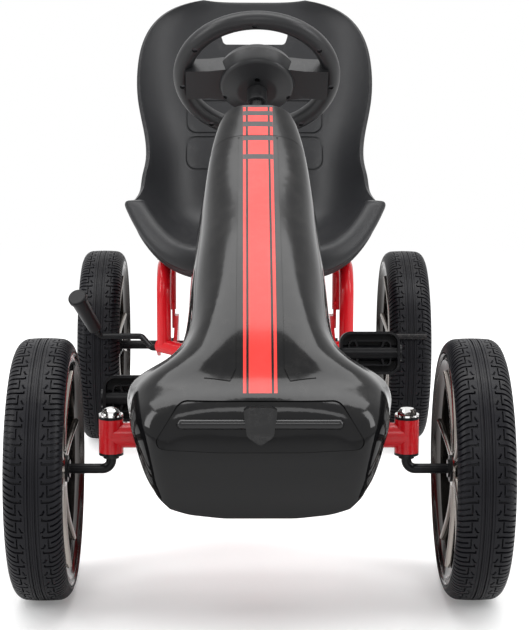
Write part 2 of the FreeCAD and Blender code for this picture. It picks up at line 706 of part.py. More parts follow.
def rim(name, place, bore):
    """A moulded rim: barrel with lips, hub, and pairs of slim spokes that widen towards the barrel."""
    seat = S.tyre_seat_radius - S.running_gap
    half = S.tyre_width / 2 - 4
    lip = seat + S.rim_lip
    inner = seat - S.rim_wall
    face = half + S.rim_lip_width
    barrel = revolved(f"{name}_barrel", outline([
        (inner - 3, -face, 1), (lip, -face, 1.2), (lip, -half - 0.2, 0), (seat, -half - 0.2, 0),
        (seat, half + 0.2, 0), (lip, half + 0.2, 0), (lip, face, 1.2), (inner - 3, face, 1),
        (inner, half - 6, 0), (inner, -half + 6, 0)]), place)
    hub_half = S.hub_length / 2
    hub = revolved(f"{name}_hub", outline([
        (bore, -hub_half, 0), (S.hub_radius * 0.75, -hub_half, 1.5), (S.hub_radius, -hub_half + 8, 3),
        (S.hub_radius, hub_half - 8, 3), (S.hub_radius * 0.75, hub_half, 1.5), (bore, hub_half, 0)]), place)
    spokes = []
    count = int(S.spoke_count)
    root, tip = S.hub_radius - 4, inner + 1.5
    side, deep = S.spoke_width / 2, S.spoke_depth / 2
    for index in range(count):
        spoke = extruded(f"{name}_spoke_{index}", outline([
            (root, -side * 0.8, 0), (tip * 0.55, -side * 0.7, 6), (tip, -side * 1.7, 0),
            (tip, side * 1.7, 0), (tip * 0.55, side * 0.7, 6), (root, side * 0.8, 0)]),
            deep * 2, Placement())
        spoke.Placement = place * Placement(Vector(), Rotation(Z, 360 * index / count)) * \
            Placement(Vector(0, 0, hub_half - 6 - deep * 2), Rotation())
        spokes.append(spoke)
    return join(name, barrel, hub, *spokes)


def wheel(name, x, y, sign, bore):
    """One wheel: foam tyre and rim, with its outer face towards sign."""
    place = Placement(at(x, y, AXLE_Z), turned(X * sign))
    part(f"tyre_{name}", revolved(f"tyre_{name}_ring", tyre_curves(), place))
    part(f"rim_{name}", rim(f"rim_{name}_body", place, bore))


def wheel_bushes(name, x, y, shaft, bore):
    """The two plain bushes pressed into a freely turning hub."""
    pair = []
    for side, way in (("inner", -1), ("outer", 1)):
        base = at(x + way * S.hub_length / 2, y, AXLE_Z)
        pair.append(bush(f"wheel_bush_{name}_{side}", f"{shaft} + sizes.running_gap", bore,
                         "sizes.wheel_bush_length", "sizes.hub_radius * 0.7", "sizes.wheel_bush_flange",
                         base, X * -way))
    group(f"wheel_bushes_{name}", pair)


def hex_nut(name, radius, height, bore, base, direction):
    """A hexagon nut with a washer face."""
    body = doc.addObject("Part::Prism", f"{name}_hex")
    body.Polygon = 6
    bind(body, Circumradius=radius, Height=height)
    body.Placement = Placement(base, turned(direction))
    hole = cylinder(f"{name}_bore", bore, None, base - direction, direction)
    hole.Height = 60
    return cut(name, body, hole)


def washer(name, radius, height, bore, base, direction):
    """A plain washer."""
    disc = cylinder(f"{name}_disc", radius, height, base, direction)
    hole = cylinder(f"{name}_bore", bore, None, base - direction, direction)
    hole.Height = 60
    return cut(name, disc, hole)


def wheel_nut(name, x, y, sign, shaft):
    """Washer and nut on the end of an axle, just clear of the hub bush."""
    face = S.hub_length / 2 + S.wheel_bush_flange + S.seat_gap
    base = at(x + sign * face, y, AXLE_Z)
    ring = washer(f"{name}_washer", "sizes.wheel_washer_radius", "sizes.wheel_washer_height", shaft,
                  base, X * sign)
    nut = hex_nut(f"{name}_nut", "sizes.wheel_nut_radius", "sizes.wheel_nut_height", shaft,
                  base + X * sign * S.wheel_washer_height, X * sign)
    return [ring, nut]


def all_wheels():
    """Four wheels; the rear left wheel is keyed to the axle and the other three run on bushes."""
    stub_bore = S.stub_radius + S.wheel_bush_wall
    axle_bore = S.axle_radius + S.wheel_bush_wall
    wheel("front_left", S.front_half_track, 0, 1, stub_bore)
    wheel("front_right", -S.front_half_track, 0, -1, stub_bore)
    wheel("rear_left", S.rear_half_track, S.wheelbase, 1, axle_bore)
    wheel("rear_right", -S.rear_half_track, S.wheelbase, -1, axle_bore)
    wheel_bushes("front_left", S.front_half_track, 0, "sizes.stub_radius",
                 "sizes.stub_radius + sizes.wheel_bush_wall")
    wheel_bushes("front_right", -S.front_half_track, 0, "sizes.stub_radius",
                 "sizes.stub_radius + sizes.wheel_bush_wall")
    wheel_bushes("rear_left", S.rear_half_track, S.wheelbase, "sizes.axle_radius",
                 "sizes.axle_radius + sizes.wheel_bush_wall")
    wheel_bushes("rear_right", -S.rear_half_track, S.wheelbase, "sizes.axle_radius",
                 "sizes.axle_radius + sizes.wheel_bush_wall")


# --------------------------------------------------------------------------------------
# Steering
# --------------------------------------------------------------------------------------
ARM_TOP = S.head_tube_bottom - S.head_bush_flange - S.seat_gap
CAP_BASE = HEAD_TOP + S.head_bush_flange + S.seat_gap
TIE_Z = ARM_TOP + S.seat_gap + S.tie_ball_radius * 0.75
STUD_DROP = S.stud_length + S.link_gap + S.tie_ball_radius * 0.5


def kingpin_axle(side, sign):
    """The bent bar that is kingpin and stub axle in one, with its steering arm welded on."""
    x = sign * S.kingpin_half_span
    end = S.front_half_track + S.hub_length / 2 + S.wheel_bush_flange + S.seat_gap \
        + S.wheel_washer_height + S.wheel_nut_height + 1.5
    path = [at(x, 0, CAP_BASE + S.kingpin_cap_flange), at(x, 0, AXLE_Z), at(sign * end, 0, AXLE_Z)]
    bar = bent_rod(f"kingpin_{side}", "sizes.stub_radius", path, S.kingpin_bend * 0.65)
    width = S.steering_arm_width / 2
    length = S.steering_arm_length
    arm = extruded(f"steering_arm_{side}", outline([
        (x - width, -width * 0.9, width * 0.85), (x + width, -width * 0.9, width * 0.85),
        (x + width * 0.8, length + width * 0.8, width * 0.75),
        (x - width * 0.8, length + width * 0.8, width * 0.75)]),
        S.arm_thickness, Placement(at(0, 0, ARM_TOP - S.arm_thickness), Rotation()))
    hole = cylinder(f"steering_arm_hole_{side}", "sizes.tie_rod_radius * 0.75 + sizes.running_gap", None,
                    at(x, length, ARM_TOP - 20))
    hole.Height = 40
    stop = cylinder(f"hub_shoulder_{side}", "sizes.stub_radius * 1.8", "sizes.wheel_washer_height",
                    at(sign * (S.front_half_track - S.hub_length / 2 - S.wheel_bush_flange - S.seat_gap),
                       0, AXLE_Z), X * -sign)
    part(f"kingpin_axle_{side}", cut(f"kingpin_axle_{side}", join(f"kingpin_axle_{side}", bar, arm, stop), hole))
    nut = wheel_nut(f"front_{side}", sign * S.front_half_track, 0, sign, "sizes.stub_radius")
    group(f"wheel_nut_front_{side}", nut)


def kingpin_caps():
    """Domed cap on one kingpin and flanged hexagon nut on the other."""
    left = at(S.kingpin_half_span, 0, CAP_BASE)
    right = at(-S.kingpin_half_span, 0, CAP_BASE)
    brim, dome = S.kingpin_cap_radius, S.kingpin_cap_radius * 0.82
    base, top = S.kingpin_cap_flange, S.kingpin_cap_flange + S.kingpin_dome_height
    ball = (dome ** 2 + S.kingpin_dome_height ** 2) / (2 * S.kingpin_dome_height)
    half_turn = math.asin(dome / ball) / 2
    corners = [Vector(S.stub_radius, 0, 0), Vector(brim, 0, 0), Vector(brim, base, 0), Vector(dome, base, 0)]
    profile = [Part.LineSegment(start, end) for start, end in zip(corners, corners[1:])]
    shoulder = Vector(ball * math.sin(half_turn), top - ball * (1 - math.cos(half_turn)), 0)
    profile.append(Part.Arc(corners[-1], shoulder, Vector(0, top, 0)))
    rest = [Vector(0, top, 0), Vector(0, base, 0), Vector(S.stub_radius, base, 0), corners[0]]
    profile += [Part.LineSegment(start, end) for start, end in zip(rest, rest[1:])]
    part("kingpin_cap_right", revolved("kingpin_cap_right", profile, Placement(right, Rotation())))
    disc = cylinder("kingpin_flange", "sizes.kingpin_cap_radius", "sizes.kingpin_cap_flange", left)
    hexagon = doc.addObject("Part::Prism", "kingpin_hexagon")
    hexagon.Polygon = 6
    bind(hexagon, Circumradius="sizes.kingpin_cap_radius * 0.82",
         Height="sizes.kingpin_cap_flange + sizes.kingpin_dome_height * 0.8")
    hexagon.Placement = Placement(left, Rotation(Z, 12))
    crown = doc.addObject("Part::Cone", "kingpin_crown")
    bind(crown, Radius1="sizes.kingpin_cap_radius * 1.1", Radius2="sizes.kingpin_cap_radius * 0.55",
         Height="sizes.kingpin_cap_flange + sizes.kingpin_dome_height * 0.8")
    crown.Placement = Placement(left, Rotation())
    chamfered = doc.addObject("Part::Common", "kingpin_hexagon_crowned")
    chamfered.Base = hexagon
    chamfered.Tool = crown
    core_hole = cylinder("kingpin_nut_bore", "sizes.stub_radius", "sizes.kingpin_cap_flange", left)
    part("kingpin_nut_left", cut("kingpin_nut_left", join("kingpin_nut_left", disc, chamfered), core_hole))


def tie_rod(side, sign):
    """A track rod: ball cup and pin at the steering arm, and an eye just clear of the drop arm's stud."""
    outer = at(sign * S.kingpin_half_span, S.steering_arm_length, TIE_Z)
    eye_centre = PITMAN_TIP + X * sign * S.stud_half_span - COLUMN_UP * STUD_DROP
    reach = (outer - eye_centre).normalize()
    rod = cylinder(f"tie_bar_{side}", "sizes.tie_rod_radius", None, eye_centre + reach * S.eye_radius * 0.8, reach)
    rod.Height = (outer - eye_centre).Length - S.eye_radius * 0.8
    cup = cylinder(f"tie_cup_{side}", "sizes.tie_ball_radius", "sizes.tie_ball_radius * 1.5",
                   outer - Z * S.tie_ball_radius * 0.75)
    pin = cylinder(f"tie_pin_{side}", "sizes.tie_rod_radius * 0.75", None, outer - Z * (TIE_Z - ARM_TOP + 8))
    pin.Height = TIE_Z - ARM_TOP + 8
    nut = cylinder(f"tie_nut_{side}", "sizes.tie_rod_radius * 1.5", "sizes.arm_thickness",
                   outer - Z * (TIE_Z - ARM_TOP + 2 * S.arm_thickness + S.seat_gap))
    eye = cylinder(f"tie_eye_{side}", "sizes.eye_radius", "sizes.tie_ball_radius",
                   eye_centre - COLUMN_UP * (S.tie_ball_radius / 2), COLUMN_UP)
    hole = cylinder(f"tie_eye_hole_{side}", "sizes.stud_radius + sizes.eye_slack",
                    "sizes.tie_ball_radius * 3", eye_centre - COLUMN_UP * (S.tie_ball_radius * 1.5), COLUMN_UP)
    part(f"tie_rod_{side}", cut(f"tie_rod_{side}", join(f"tie_rod_{side}", rod, cup, pin, nut, eye), hole))


PITMAN_TIP = COLUMN_FOOT + COLUMN_DOWN_BACK * S.pitman_length


def steering_column():
    """The column tube with the drop arm and its two studs at the foot."""
    rod = cylinder("column_rod", "sizes.column_radius", "sizes.column_length + sizes.column_stub",
                   COLUMN_FOOT, COLUMN_UP)
    half = S.stud_half_span
    place = Placement(COLUMN_FOOT, Rotation(X, COLUMN_DOWN_BACK, COLUMN_UP, "XYZ"))
    arm = extruded("drop_arm", outline([
        (-S.column_radius * 1.3, -S.column_radius * 1.2, 8), (S.column_radius * 1.3, -S.column_radius * 1.2, 8),
        (half + 7, S.pitman_length - 2, 4), (half + 7, S.pitman_length + 7, 5),
        (-half - 7, S.pitman_length + 7, 5), (-half - 7, S.pitman_length - 2, 4)]), S.arm_thickness, place)
    solids = [rod, arm]
    for side, sign in (("left", 1), ("right", -1)):
        top = PITMAN_TIP + X * sign * half
        solids.append(cylinder(f"stud_{side}", "sizes.stud_radius", "sizes.stud_length", top, COLUMN_UP * -1))
    part("steering_column", join("steering_column", *solids))


def steering_wheel():
    """Rim, two wide side spokes and domed hub, split into a front and a back moulding, with screws."""
    place = Placement(WHEEL_HUB, Rotation(X * -1, COLUMN_DOWN_BACK * -1, COLUMN_UP, "XYZ"))
    shells = {}
    for name, side in (("steering_wheel_top", 1), ("steering_wheel_back", -1)):
        major = S.wheel_radius - S.wheel_rim_tube
        minor = S.wheel_rim_tube
        centre = Vector(major, 0, 0)
        half_round = [Part.LineSegment(Vector(major - minor, 0, 0), Vector(major + minor, 0, 0)),
                      Part.Arc(Vector(major + minor, 0, 0), centre + Vector(0, side * minor, 0),
                               Vector(major - minor, 0, 0))]
        rim_ring = revolved(f"{name}_rim", half_round, place)
        deep = S.wheel_hub_depth * (1.0 if side < 0 else 0.55)
        hub = revolved(f"{name}_hub", outline([
            (0, 0, 0), (S.wheel_hub_radius, 0, 0), (S.wheel_hub_radius * 0.92, side * deep * 0.7, 6),
            (S.wheel_hub_radius * 0.5, side * deep, 8), (0, side * deep, 0)]), place)
        spokes = []
        thick = S.wheel_spoke_depth if side > 0 else S.wheel_spoke_back
        for way in (1, -1):
            reach = major - minor * 0.4
            flat = outline([
                (way * S.wheel_hub_radius * 0.6, -26, 0), (way * S.wheel_hub_radius * 1.2, -22, 8),
                (way * reach, -24, 0), (way * reach, 20, 0), (way * S.wheel_hub_radius * 1.2, 21, 8),
                (way * S.wheel_hub_radius * 0.6, 25, 0)])
            spoke_place = place * Placement(Vector(0, 0, 0 if side > 0 else -thick), Rotation())
            spokes.append(extruded(f"{name}_spoke_{'l' if way > 0 else 'r'}", flat, thick, spoke_place))
        shells[name] = join(name, rim_ring, hub, *spokes)
    neck = cylinder("wheel_neck", "sizes.wheel_neck_radius", None,
                    WHEEL_HUB - COLUMN_UP * (S.wheel_hub_depth + S.wheel_neck_length), COLUMN_UP)
    neck.Height = S.wheel_neck_length + S.wheel_hub_depth / 2
    shells["steering_wheel_back"] = join("steering_wheel_back", shells["steering_wheel_back"], neck)
    column_hole = cylinder("wheel_column_hole", "sizes.column_radius", "sizes.wheel_hub_depth * 3",
                           WHEEL_HUB - COLUMN_UP * (S.wheel_hub_depth * 3 - S.column_stub), COLUMN_UP)
    screws, holes = [], []
    spots = [(S.wheel_hub_radius * share, math.radians(a)) for share, a in ((0.4, 0), (0.88, 113), (0.88, 247))]
    spots += [(S.wheel_radius - S.wheel_rim_tube, math.radians(a)) for a in (2, 55, 95, 142, 218, 265, 305)]
    for index, (radius, angle) in enumerate(spots):
        depth = S.wheel_hub_depth * 0.55 if index < 3 else S.wheel_rim_tube * 0.8
        spot = place.multVec(Vector(radius * math.sin(angle), radius * math.cos(angle), -depth))
        screw = cylinder(f"wheel_screw_{index}", "sizes.wheel_screw_radius", None, spot, COLUMN_UP)
        screw.Height = depth - 1
        hole = cylinder(f"wheel_screw_hole_{index}", "sizes.wheel_screw_radius", None,
                        spot - COLUMN_UP * 30, COLUMN_UP)
        hole.Height = depth - 1 + 30
        screws.append(screw)
        holes.append(hole)
    part("steering_wheel_top", cut("steering_wheel_top", shells["steering_wheel_top"], column_hole))
    part("steering_wheel_back", cut("steering_wheel_back", shells["steering_wheel_back"], column_hole, *holes))
    group("steering_wheel_screws", screws)


# --------------------------------------------------------------------------------------
# Pedals and chain drive
# --------------------------------------------------------------------------------------
CHAIN_RUN = at(0, S.wheelbase, AXLE_Z) - CRANK
CHAIN_SPAN = CHAIN_RUN.Length
CHAIN_ALONG = Vector(CHAIN_RUN).normalize()
CHAIN_ROTATION = Rotation(CHAIN_ALONG, X.cross(CHAIN_ALONG), X, "XYZ")


def pitch_radius(teeth):
    """The pitch circle of a sprocket."""
    return S.chain_pitch / (2 * math.sin(math.pi / teeth))


def chain_plane(x):
    """Local axes of the drive: x runs from the crank to the rear axle, z across the kart."""
    return Placement(Vector(x, CRANK.y, CRANK.z), CHAIN_ROTATION)


def belt(grow):
    """A closed outline round both sprockets, offset outwards from the pitch line by grow."""
    front, rear = pitch_radius(S.front_teeth) + grow, pitch_radius(S.rear_teeth) + grow
    lean = math.acos((front - rear) / CHAIN_SPAN)
    cos, sin = math.cos(lean), math.sin(lean)
    upper = [Vector(front * cos, front * sin, 0), Vector(CHAIN_SPAN + rear * cos, rear * sin, 0)]
    lower = [Vector(point.x, -point.y, 0) for point in upper]
    return [Part.LineSegment(upper[0], upper[1]),
            Part.Arc(upper[1], Vector(CHAIN_SPAN + rear, 0, 0), lower[1]),
            Part.LineSegment(lower[1], lower[0]),
            Part.Arc(lower[0], Vector(-front, 0, 0), upper[0])]


def sprocket(name, teeth, x, centre, bore, hub_radius):
    """A toothed disc: round roller seats between flat-topped teeth."""
    pitch = pitch_radius(teeth)
    seat = S.chain_roller / 2
    tip = pitch + S.tooth_height
    step = 2 * math.pi / teeth
    curves = []
    for index in range(int(teeth)):
        middle = index * step

        def spot(radius, turn):
            return Vector(radius * math.cos(middle + turn), radius * math.sin(middle + turn), 0)
        mouth = seat / pitch * 0.94
        crest = step / 2 - step * 0.12
        deep = pitch - seat
        curves.append(Part.Arc(spot(pitch, -mouth), spot(deep, 0), spot(pitch, mouth)))
        curves.append(Part.LineSegment(spot(pitch, mouth), spot(tip, crest)))
        curves.append(Part.LineSegment(spot(tip, crest), spot(tip, step - crest)))
        curves.append(Part.LineSegment(spot(tip, step - crest), spot(pitch, step - mouth)))
    place = Placement(Vector(x - S.sprocket_thickness / 2, centre.y, centre.z), CHAIN_ROTATION)
    disc = extruded(f"{name}_disc", curves, S.sprocket_thickness, place)
    boss = cylinder(f"{name}_boss", None, "sizes.chain_width", Vector(x - S.chain_width / 2, centre.y, centre.z), X)
    boss.Radius = hub_radius
    hole = cylinder(f"{name}_bore", bore, "sizes.chain_width * 3",
                    Vector(x - S.chain_width * 1.5, centre.y, centre.z), X)
    windows = []
    if teeth > S.rear_teeth:
        middle_radius = (pitch - seat + hub_radius) / 2
        for index in range(5):
            angle = 2 * math.pi * index / 5
            spot = Vector(x - 5, centre.y + middle_radius * math.cos(angle), centre.z + middle_radius * math.sin(angle))
            window = cylinder(f"{name}_window_{index}", None, None, spot, X)
            window.Radius = (pitch - seat - hub_radius) * 0.3
            window.Height = 10
            windows.append(window)
    part(name, cut(name, join(name, disc, boss), hole, *windows))


def drive_chain():
    """The chain as one loop of channel section: link plates each side and the rollers' backs outside."""
    half = S.chain_roller / 2
    loop = ring_face(belt(half), belt(-half)).extrude(Vector(0, 0, S.chain_width))
    inside = ring_face(belt(half - S.chain_plate / 2), belt(-half - 1))
    inside = inside.extrude(Vector(0, 0, S.chain_width - 2 * S.chain_plate))
    body = feature("chain_loop", loop)
    body.Placement = chain_plane(S.chain_x - S.chain_width / 2)
    space = feature("chain_inside", inside)
    space.Placement = chain_plane(S.chain_x - S.chain_width / 2 + S.chain_plate)
    part("drive_chain", cut("drive_chain", body, space))


def case_window(grow):
    """The opening between the two chain runs, grown outwards by grow."""
    front, rear = pitch_radius(S.front_teeth), pitch_radius(S.rear_teeth)
    inset = S.chain_roller / 2 + S.case_margin
    start, finish = front + S.case_margin * 2 - grow, CHAIN_SPAN - rear - S.case_margin * 2 + grow
    slope = (front - rear) / CHAIN_SPAN
    near, far = front - inset - slope * start + grow, front - inset - slope * finish + grow
    return outline([(start, -near, 14 + grow), (finish, -far, 12 + grow), (finish, far, 12 + grow),
                    (start, near, 14 + grow)])


def chain_case():
    """Two moulded trays that meet over the chain, open between its upper and lower runs."""
    reach = S.chain_roller / 2 + S.case_margin
    wall, deep = S.case_wall, S.case_half_width
    for name, base, floor in (("chain_case_inner", S.chain_x - deep, S.chain_x - deep + wall),
                              ("chain_case_outer", S.chain_x, S.chain_x - 1)):
        full = ring_face(belt(reach), case_window(0)).extrude(Vector(0, 0, deep))
        hollow = ring_face(belt(reach - wall), case_window(wall))
        hollow = hollow.extrude(Vector(0, 0, deep - wall + 1))
        tray = feature(f"{name}_tray", full)
        tray.Placement = chain_plane(base)
        space = feature(f"{name}_space", hollow)
        space.Placement = chain_plane(floor)
        crank_hole = cylinder(f"{name}_crank_hole", "sizes.crank_shell_radius * 0.8 + sizes.seat_gap", "60",
                              Vector(S.chain_x - 30, CRANK.y, CRANK.z), X)
        axle_hole = cylinder(f"{name}_axle_hole", "sizes.axle_radius + sizes.seat_gap", "60",
                             at(S.chain_x - 30, S.wheelbase, AXLE_Z), X)
        part(name, cut(name, tray, space, crank_hole, axle_hole))


def crankshaft():
    """A one-piece bent crank: axle, two arms and two pedal spindles."""
    throw = Vector(0, math.cos(math.radians(S.crank_angle)), math.sin(math.radians(S.crank_angle))) * S.crank_arm
    end = X * (S.pedal_inner_x + S.pedal_width + S.seat_gap + S.case_wall)
    offset = X * S.crank_offset
    path = [CRANK + throw + end, CRANK + throw + offset, CRANK + offset,
            CRANK - offset, CRANK - throw - offset, CRANK - throw - end]
    part("crankshaft", bent_rod("crankshaft", "sizes.crank_radius", path, S.crank_radius * 1.6))
    caps = []
    for side, sign in (("left", 1), ("right", -1)):
        face = S.pedal_inner_x + S.pedal_width + S.seat_gap
        caps.append(washer(f"pedal_cap_{side}", "sizes.crank_radius * 1.6", "sizes.case_wall", "sizes.crank_radius",
                           CRANK + throw * sign + X * sign * face, X * sign))
    group("pedal_end_caps", caps)


def pedal(name, sign):
    """A moulded pedal: foot plate, rim, spindle tube and a web of ribs on its front."""
    throw = Vector(0, math.cos(math.radians(S.crank_angle)), math.sin(math.radians(S.crank_angle))) * S.crank_arm
    centre = CRANK + throw * sign
    wide, long, deep, wall = S.pedal_width, S.pedal_length, S.pedal_thickness, S.pedal_wall
    near = S.pedal_inner_x if sign > 0 else -S.pedal_inner_x - wide
    middle = Vector(near + wide / 2, centre.y, centre.z)
    place = Placement(middle, Rotation(X, 90 - S.pedal_tilt))
    high = long / 2

    def rounded(inset, corner):
        return outline([(-wide / 2 + inset, -high + inset, corner), (wide / 2 - inset, -high + inset, corner),
                        (wide / 2 - inset, high - inset, corner), (-wide / 2 + inset, high - inset, corner)])
    body = doc.addObject("PartDesign::Body", f"{name}_body")
    body.Placement = place
    plate = sketch_in(body, "XY_Plane", f"{name}_plate", rounded(0, 13), -deep / 2)
    pad(body, plate, "sizes.pedal_wall * 1.2")
    walls = sketch_in(body, "XY_Plane", f"{name}_walls", rounded(0, 13) + rounded(wall, 10), -deep / 2)
    pad(body, walls, "sizes.pedal_thickness")
    inner = 10
    ring = sketch_in(body, "XY_Plane", f"{name}_ring", rounded(inner, 5) + rounded(inner + wall * 0.6, 4), -deep / 2)
    pad(body, ring, "sizes.pedal_thickness * 0.8")
    rib = wall * 0.4
    arm_x, arm_y = wide / 2 - inner, high - inner
    for index, (way_x, way_y) in enumerate(((1, 1), (1, -1), (-1, 1), (-1, -1))):
        start, finish = Vector(way_x * 12, 0, 0), Vector(way_x * (arm_x - 8), way_y * arm_y, 0)
        across = (finish - start).cross(Z).normalize() * rib
        corners = [start - across, finish - across, finish + across, start + across]
        bar = sketch_in(body, "XY_Plane", f"{name}_rib_{index}",
                        outline([(point.x, point.y, 0) for point in corners]), -deep / 2)
        pad(body, bar, "sizes.pedal_thickness * 0.75")
    tube = sketch_in(body, "YZ_Plane", f"{name}_tube", [])
    circle_in(tube, 0, 0, "sizes.crank_radius + sizes.pedal_wall")
    pad(body, tube, "sizes.pedal_width", symmetric=True)
    bore = sketch_in(body, "YZ_Plane", f"{name}_bore", [])
    circle_in(bore, 0, 0, "sizes.crank_radius + sizes.running_gap")
    pocket(body, bore, "sizes.pedal_width * 2", symmetric=True)
    part(name, body)


def rear_axle():
    """The live axle with its shoulders for the wheels and collars beside the bearing plates."""
    end = S.rear_half_track + S.hub_length / 2 + S.wheel_bush_flange + S.seat_gap \
        + S.wheel_washer_height + S.wheel_nut_height + 1.5
    rod = cylinder("axle_rod", "sizes.axle_radius", None, at(-end, S.wheelbase, AXLE_Z), X)
    rod.Height = 2 * end
    rings = []
    shoulder = S.rear_half_track - S.hub_length / 2 - S.wheel_bush_flange - S.seat_gap
    collar = BEARING_OUTER + S.axle_bush_flange + S.seat_gap
    for side, sign in (("left", 1), ("right", -1)):
        rings.append(cylinder(f"axle_shoulder_{side}", "sizes.axle_radius * 1.6", "sizes.wheel_washer_height",
                              at(sign * shoulder, S.wheelbase, AXLE_Z), X * -sign))
        rings.append(cylinder(f"axle_collar_{side}", "sizes.axle_radius * 1.6", "sizes.bearing_plate_thickness",
                              at(sign * collar, S.wheelbase, AXLE_Z), X * sign))
    part("rear_axle", join("rear_axle", rod, *rings))
    nuts = []
    for side, sign in (("left", 1), ("right", -1)):
        nuts += wheel_nut(f"rear_{side}", sign * S.rear_half_track, S.wheelbase, sign, "sizes.axle_radius")
    group("wheel_nuts_rear", nuts)


# --------------------------------------------------------------------------------------
# Handbrake
# --------------------------------------------------------------------------------------
def handbrake():
    """A cranked bar across both rear tyres, turned by a gripped lever on the driver's right."""
    y, z = BRAKE_BAR, S.brake_bar_z
    lever_foot = at(-S.brake_lever_x, y, z)
    knob = at(-S.brake_lever_x - S.brake_lever_lean, y - 64, z + 62)
    up = (knob - lever_foot).normalize()
    inner = S.brake_crank_x
    path = [knob - up * 6, lever_foot, at(-inner - 14, y, z), at(-inner, BRAKE_PIVOT, S.brake_pivot_z),
            at(inner, BRAKE_PIVOT, S.brake_pivot_z), at(inner + 14, y, z), at(S.brake_end_x, y, z)]
    part("brake_bar", bent_rod("brake_bar", "sizes.brake_radius", path, S.brake_radius * 1.6))
    foot = knob - up * S.brake_grip_length
    cone = doc.addObject("Part::Cone", "grip_taper")
    bind(cone, Radius1="sizes.brake_grip_radius * 0.82", Radius2="sizes.brake_grip_radius",
         Height="sizes.brake_grip_length - sizes.brake_knob_radius * 0.4")
    cone.Placement = Placement(foot, turned(up))
    head = cylinder("grip_head", "sizes.brake_knob_radius", "sizes.brake_knob_radius * 0.5",
                    knob - up * S.brake_knob_radius * 0.5, up)
    rounded = doc.addObject("Part::Fillet", "grip_head_round")
    rounded.Base = head
    rounded.Edges = [(number, S.brake_knob_radius * 0.2, S.brake_knob_radius * 0.2) for number in (1, 3)]
    bore = cylinder("grip_bore", "sizes.brake_radius", "sizes.brake_grip_length - 6", foot, up)
    part("brake_grip", cut("brake_grip", join("brake_grip", cone, rounded), bore))


# --------------------------------------------------------------------------------------
# Seat
# --------------------------------------------------------------------------------------
# Stations up the middle of the seat, from the underside of the front lip to the top edge:
# distance behind the rear axle, height above the rails' axis, half width, depth of the side wings, sweep
# of the wings back along Y, and the angle above straight ahead at which the wings rise.
SEAT_STATIONS = [
    (-224, -6, 147, 44, 70, 90),
    (-242, 1, 158, 62, 72, 90),
    (-237, 15, 163, 64, 66, 90),
    (-206, 19, 161, 60, 42, 90),
    (-155, 16.7, 151, 66, 18, 90),
    (-100, 18.2, 145, 76, 4, 88),
    (-48, 36, 143, 82, 0, 62),
    (-17, 86, 139, 70, 0, 38),
    (1, 134, 142, 58, 0, 26),
    (22, 182, 152, 50, 0, 24),
    (41, 232, 154, 42, 0, 24),
    (60, 281, 142, 32, 0, 24),
    (73, 316, 109, 20, 0, 24),
    (79, 333, 70, 8, 0, 24),
]
SEAT_SHARES = [-1.0, -0.93, -0.8, -0.62, -0.4, -0.2, 0.0, 0.2, 0.4, 0.62, 0.8, 0.93, 1.0]


def seat_rows():
    """The grid of points on the seat's upper surface."""
    rows = []
    for y, z, half, wing, sweep, rise in SEAT_STATIONS:
        angle = math.radians(rise)
        lift = Vector(0, -math.cos(angle), math.sin(angle))
        line = []
        for share in SEAT_SHARES:
            curl = abs(share) ** S.seat_curl
            middle = Vector(half * share, REAR_Y + y + sweep * curl, S.seat_rail_height + z + S.seat_lift)
            line.append(middle + lift * wing * curl)
        rows.append(line)
    return rows


def offset_rows(rows, distance):
    """The same grid moved along the local surface normal."""
    moved = []
    last_row, last_column = len(rows) - 1, len(rows[0]) - 1
    for i, row in enumerate(rows):
        line = []
        for j, point in enumerate(row):
            along = rows[min(i + 1, last_row)][j] - rows[max(i - 1, 0)][j]
            across = row[min(j + 1, last_column)] - row[max(j - 1, 0)]
            line.append(point + along.cross(across).normalize() * distance)
        moved.append(line)
    return moved


def grid_surface(rows):
    """A smooth surface through a grid of points."""
    surface = Part.BSplineSurface()
    surface.interpolate(rows)
    return surface


def edge_curve(points):
    """A smooth curve through a row of points."""
    curve = Part.BSplineCurve()
    curve.interpolate(points)
    return curve


def thick_shell(rows, distance):
    """A closed solid between a smooth surface and its offset."""
    top, under = grid_surface(rows), grid_surface(offset_rows(rows, distance))
    faces = [top.toShape(), under.toShape()]
    for take in (lambda s: s.vIso(s.bounds()[2]), lambda s: s.vIso(s.bounds()[3]),
                 lambda s: s.uIso(s.bounds()[0]), lambda s: s.uIso(s.bounds()[1])):
        rails = [Part.Wire(take(side).toShape()) for side in (top, under)]
        faces += Part.makeLoft(rails, False, True).Faces
    shell = Part.makeShell(faces)
    shell.sewShape()
    solid = Part.makeSolid(shell)
    if solid.Volume < 0:
        solid.reverse()
    return solid


def skin_layer(name, rows, outward, depth, region):
    """The part of a layer along a moulded skin that lies inside a region."""
    layer = feature(f"{name}_layer", thick_shell(offset_rows(rows, -outward), depth))
    piece = doc.addObject("Part::Common", name)
    piece.Base = layer
    piece.Tool = region
    return piece


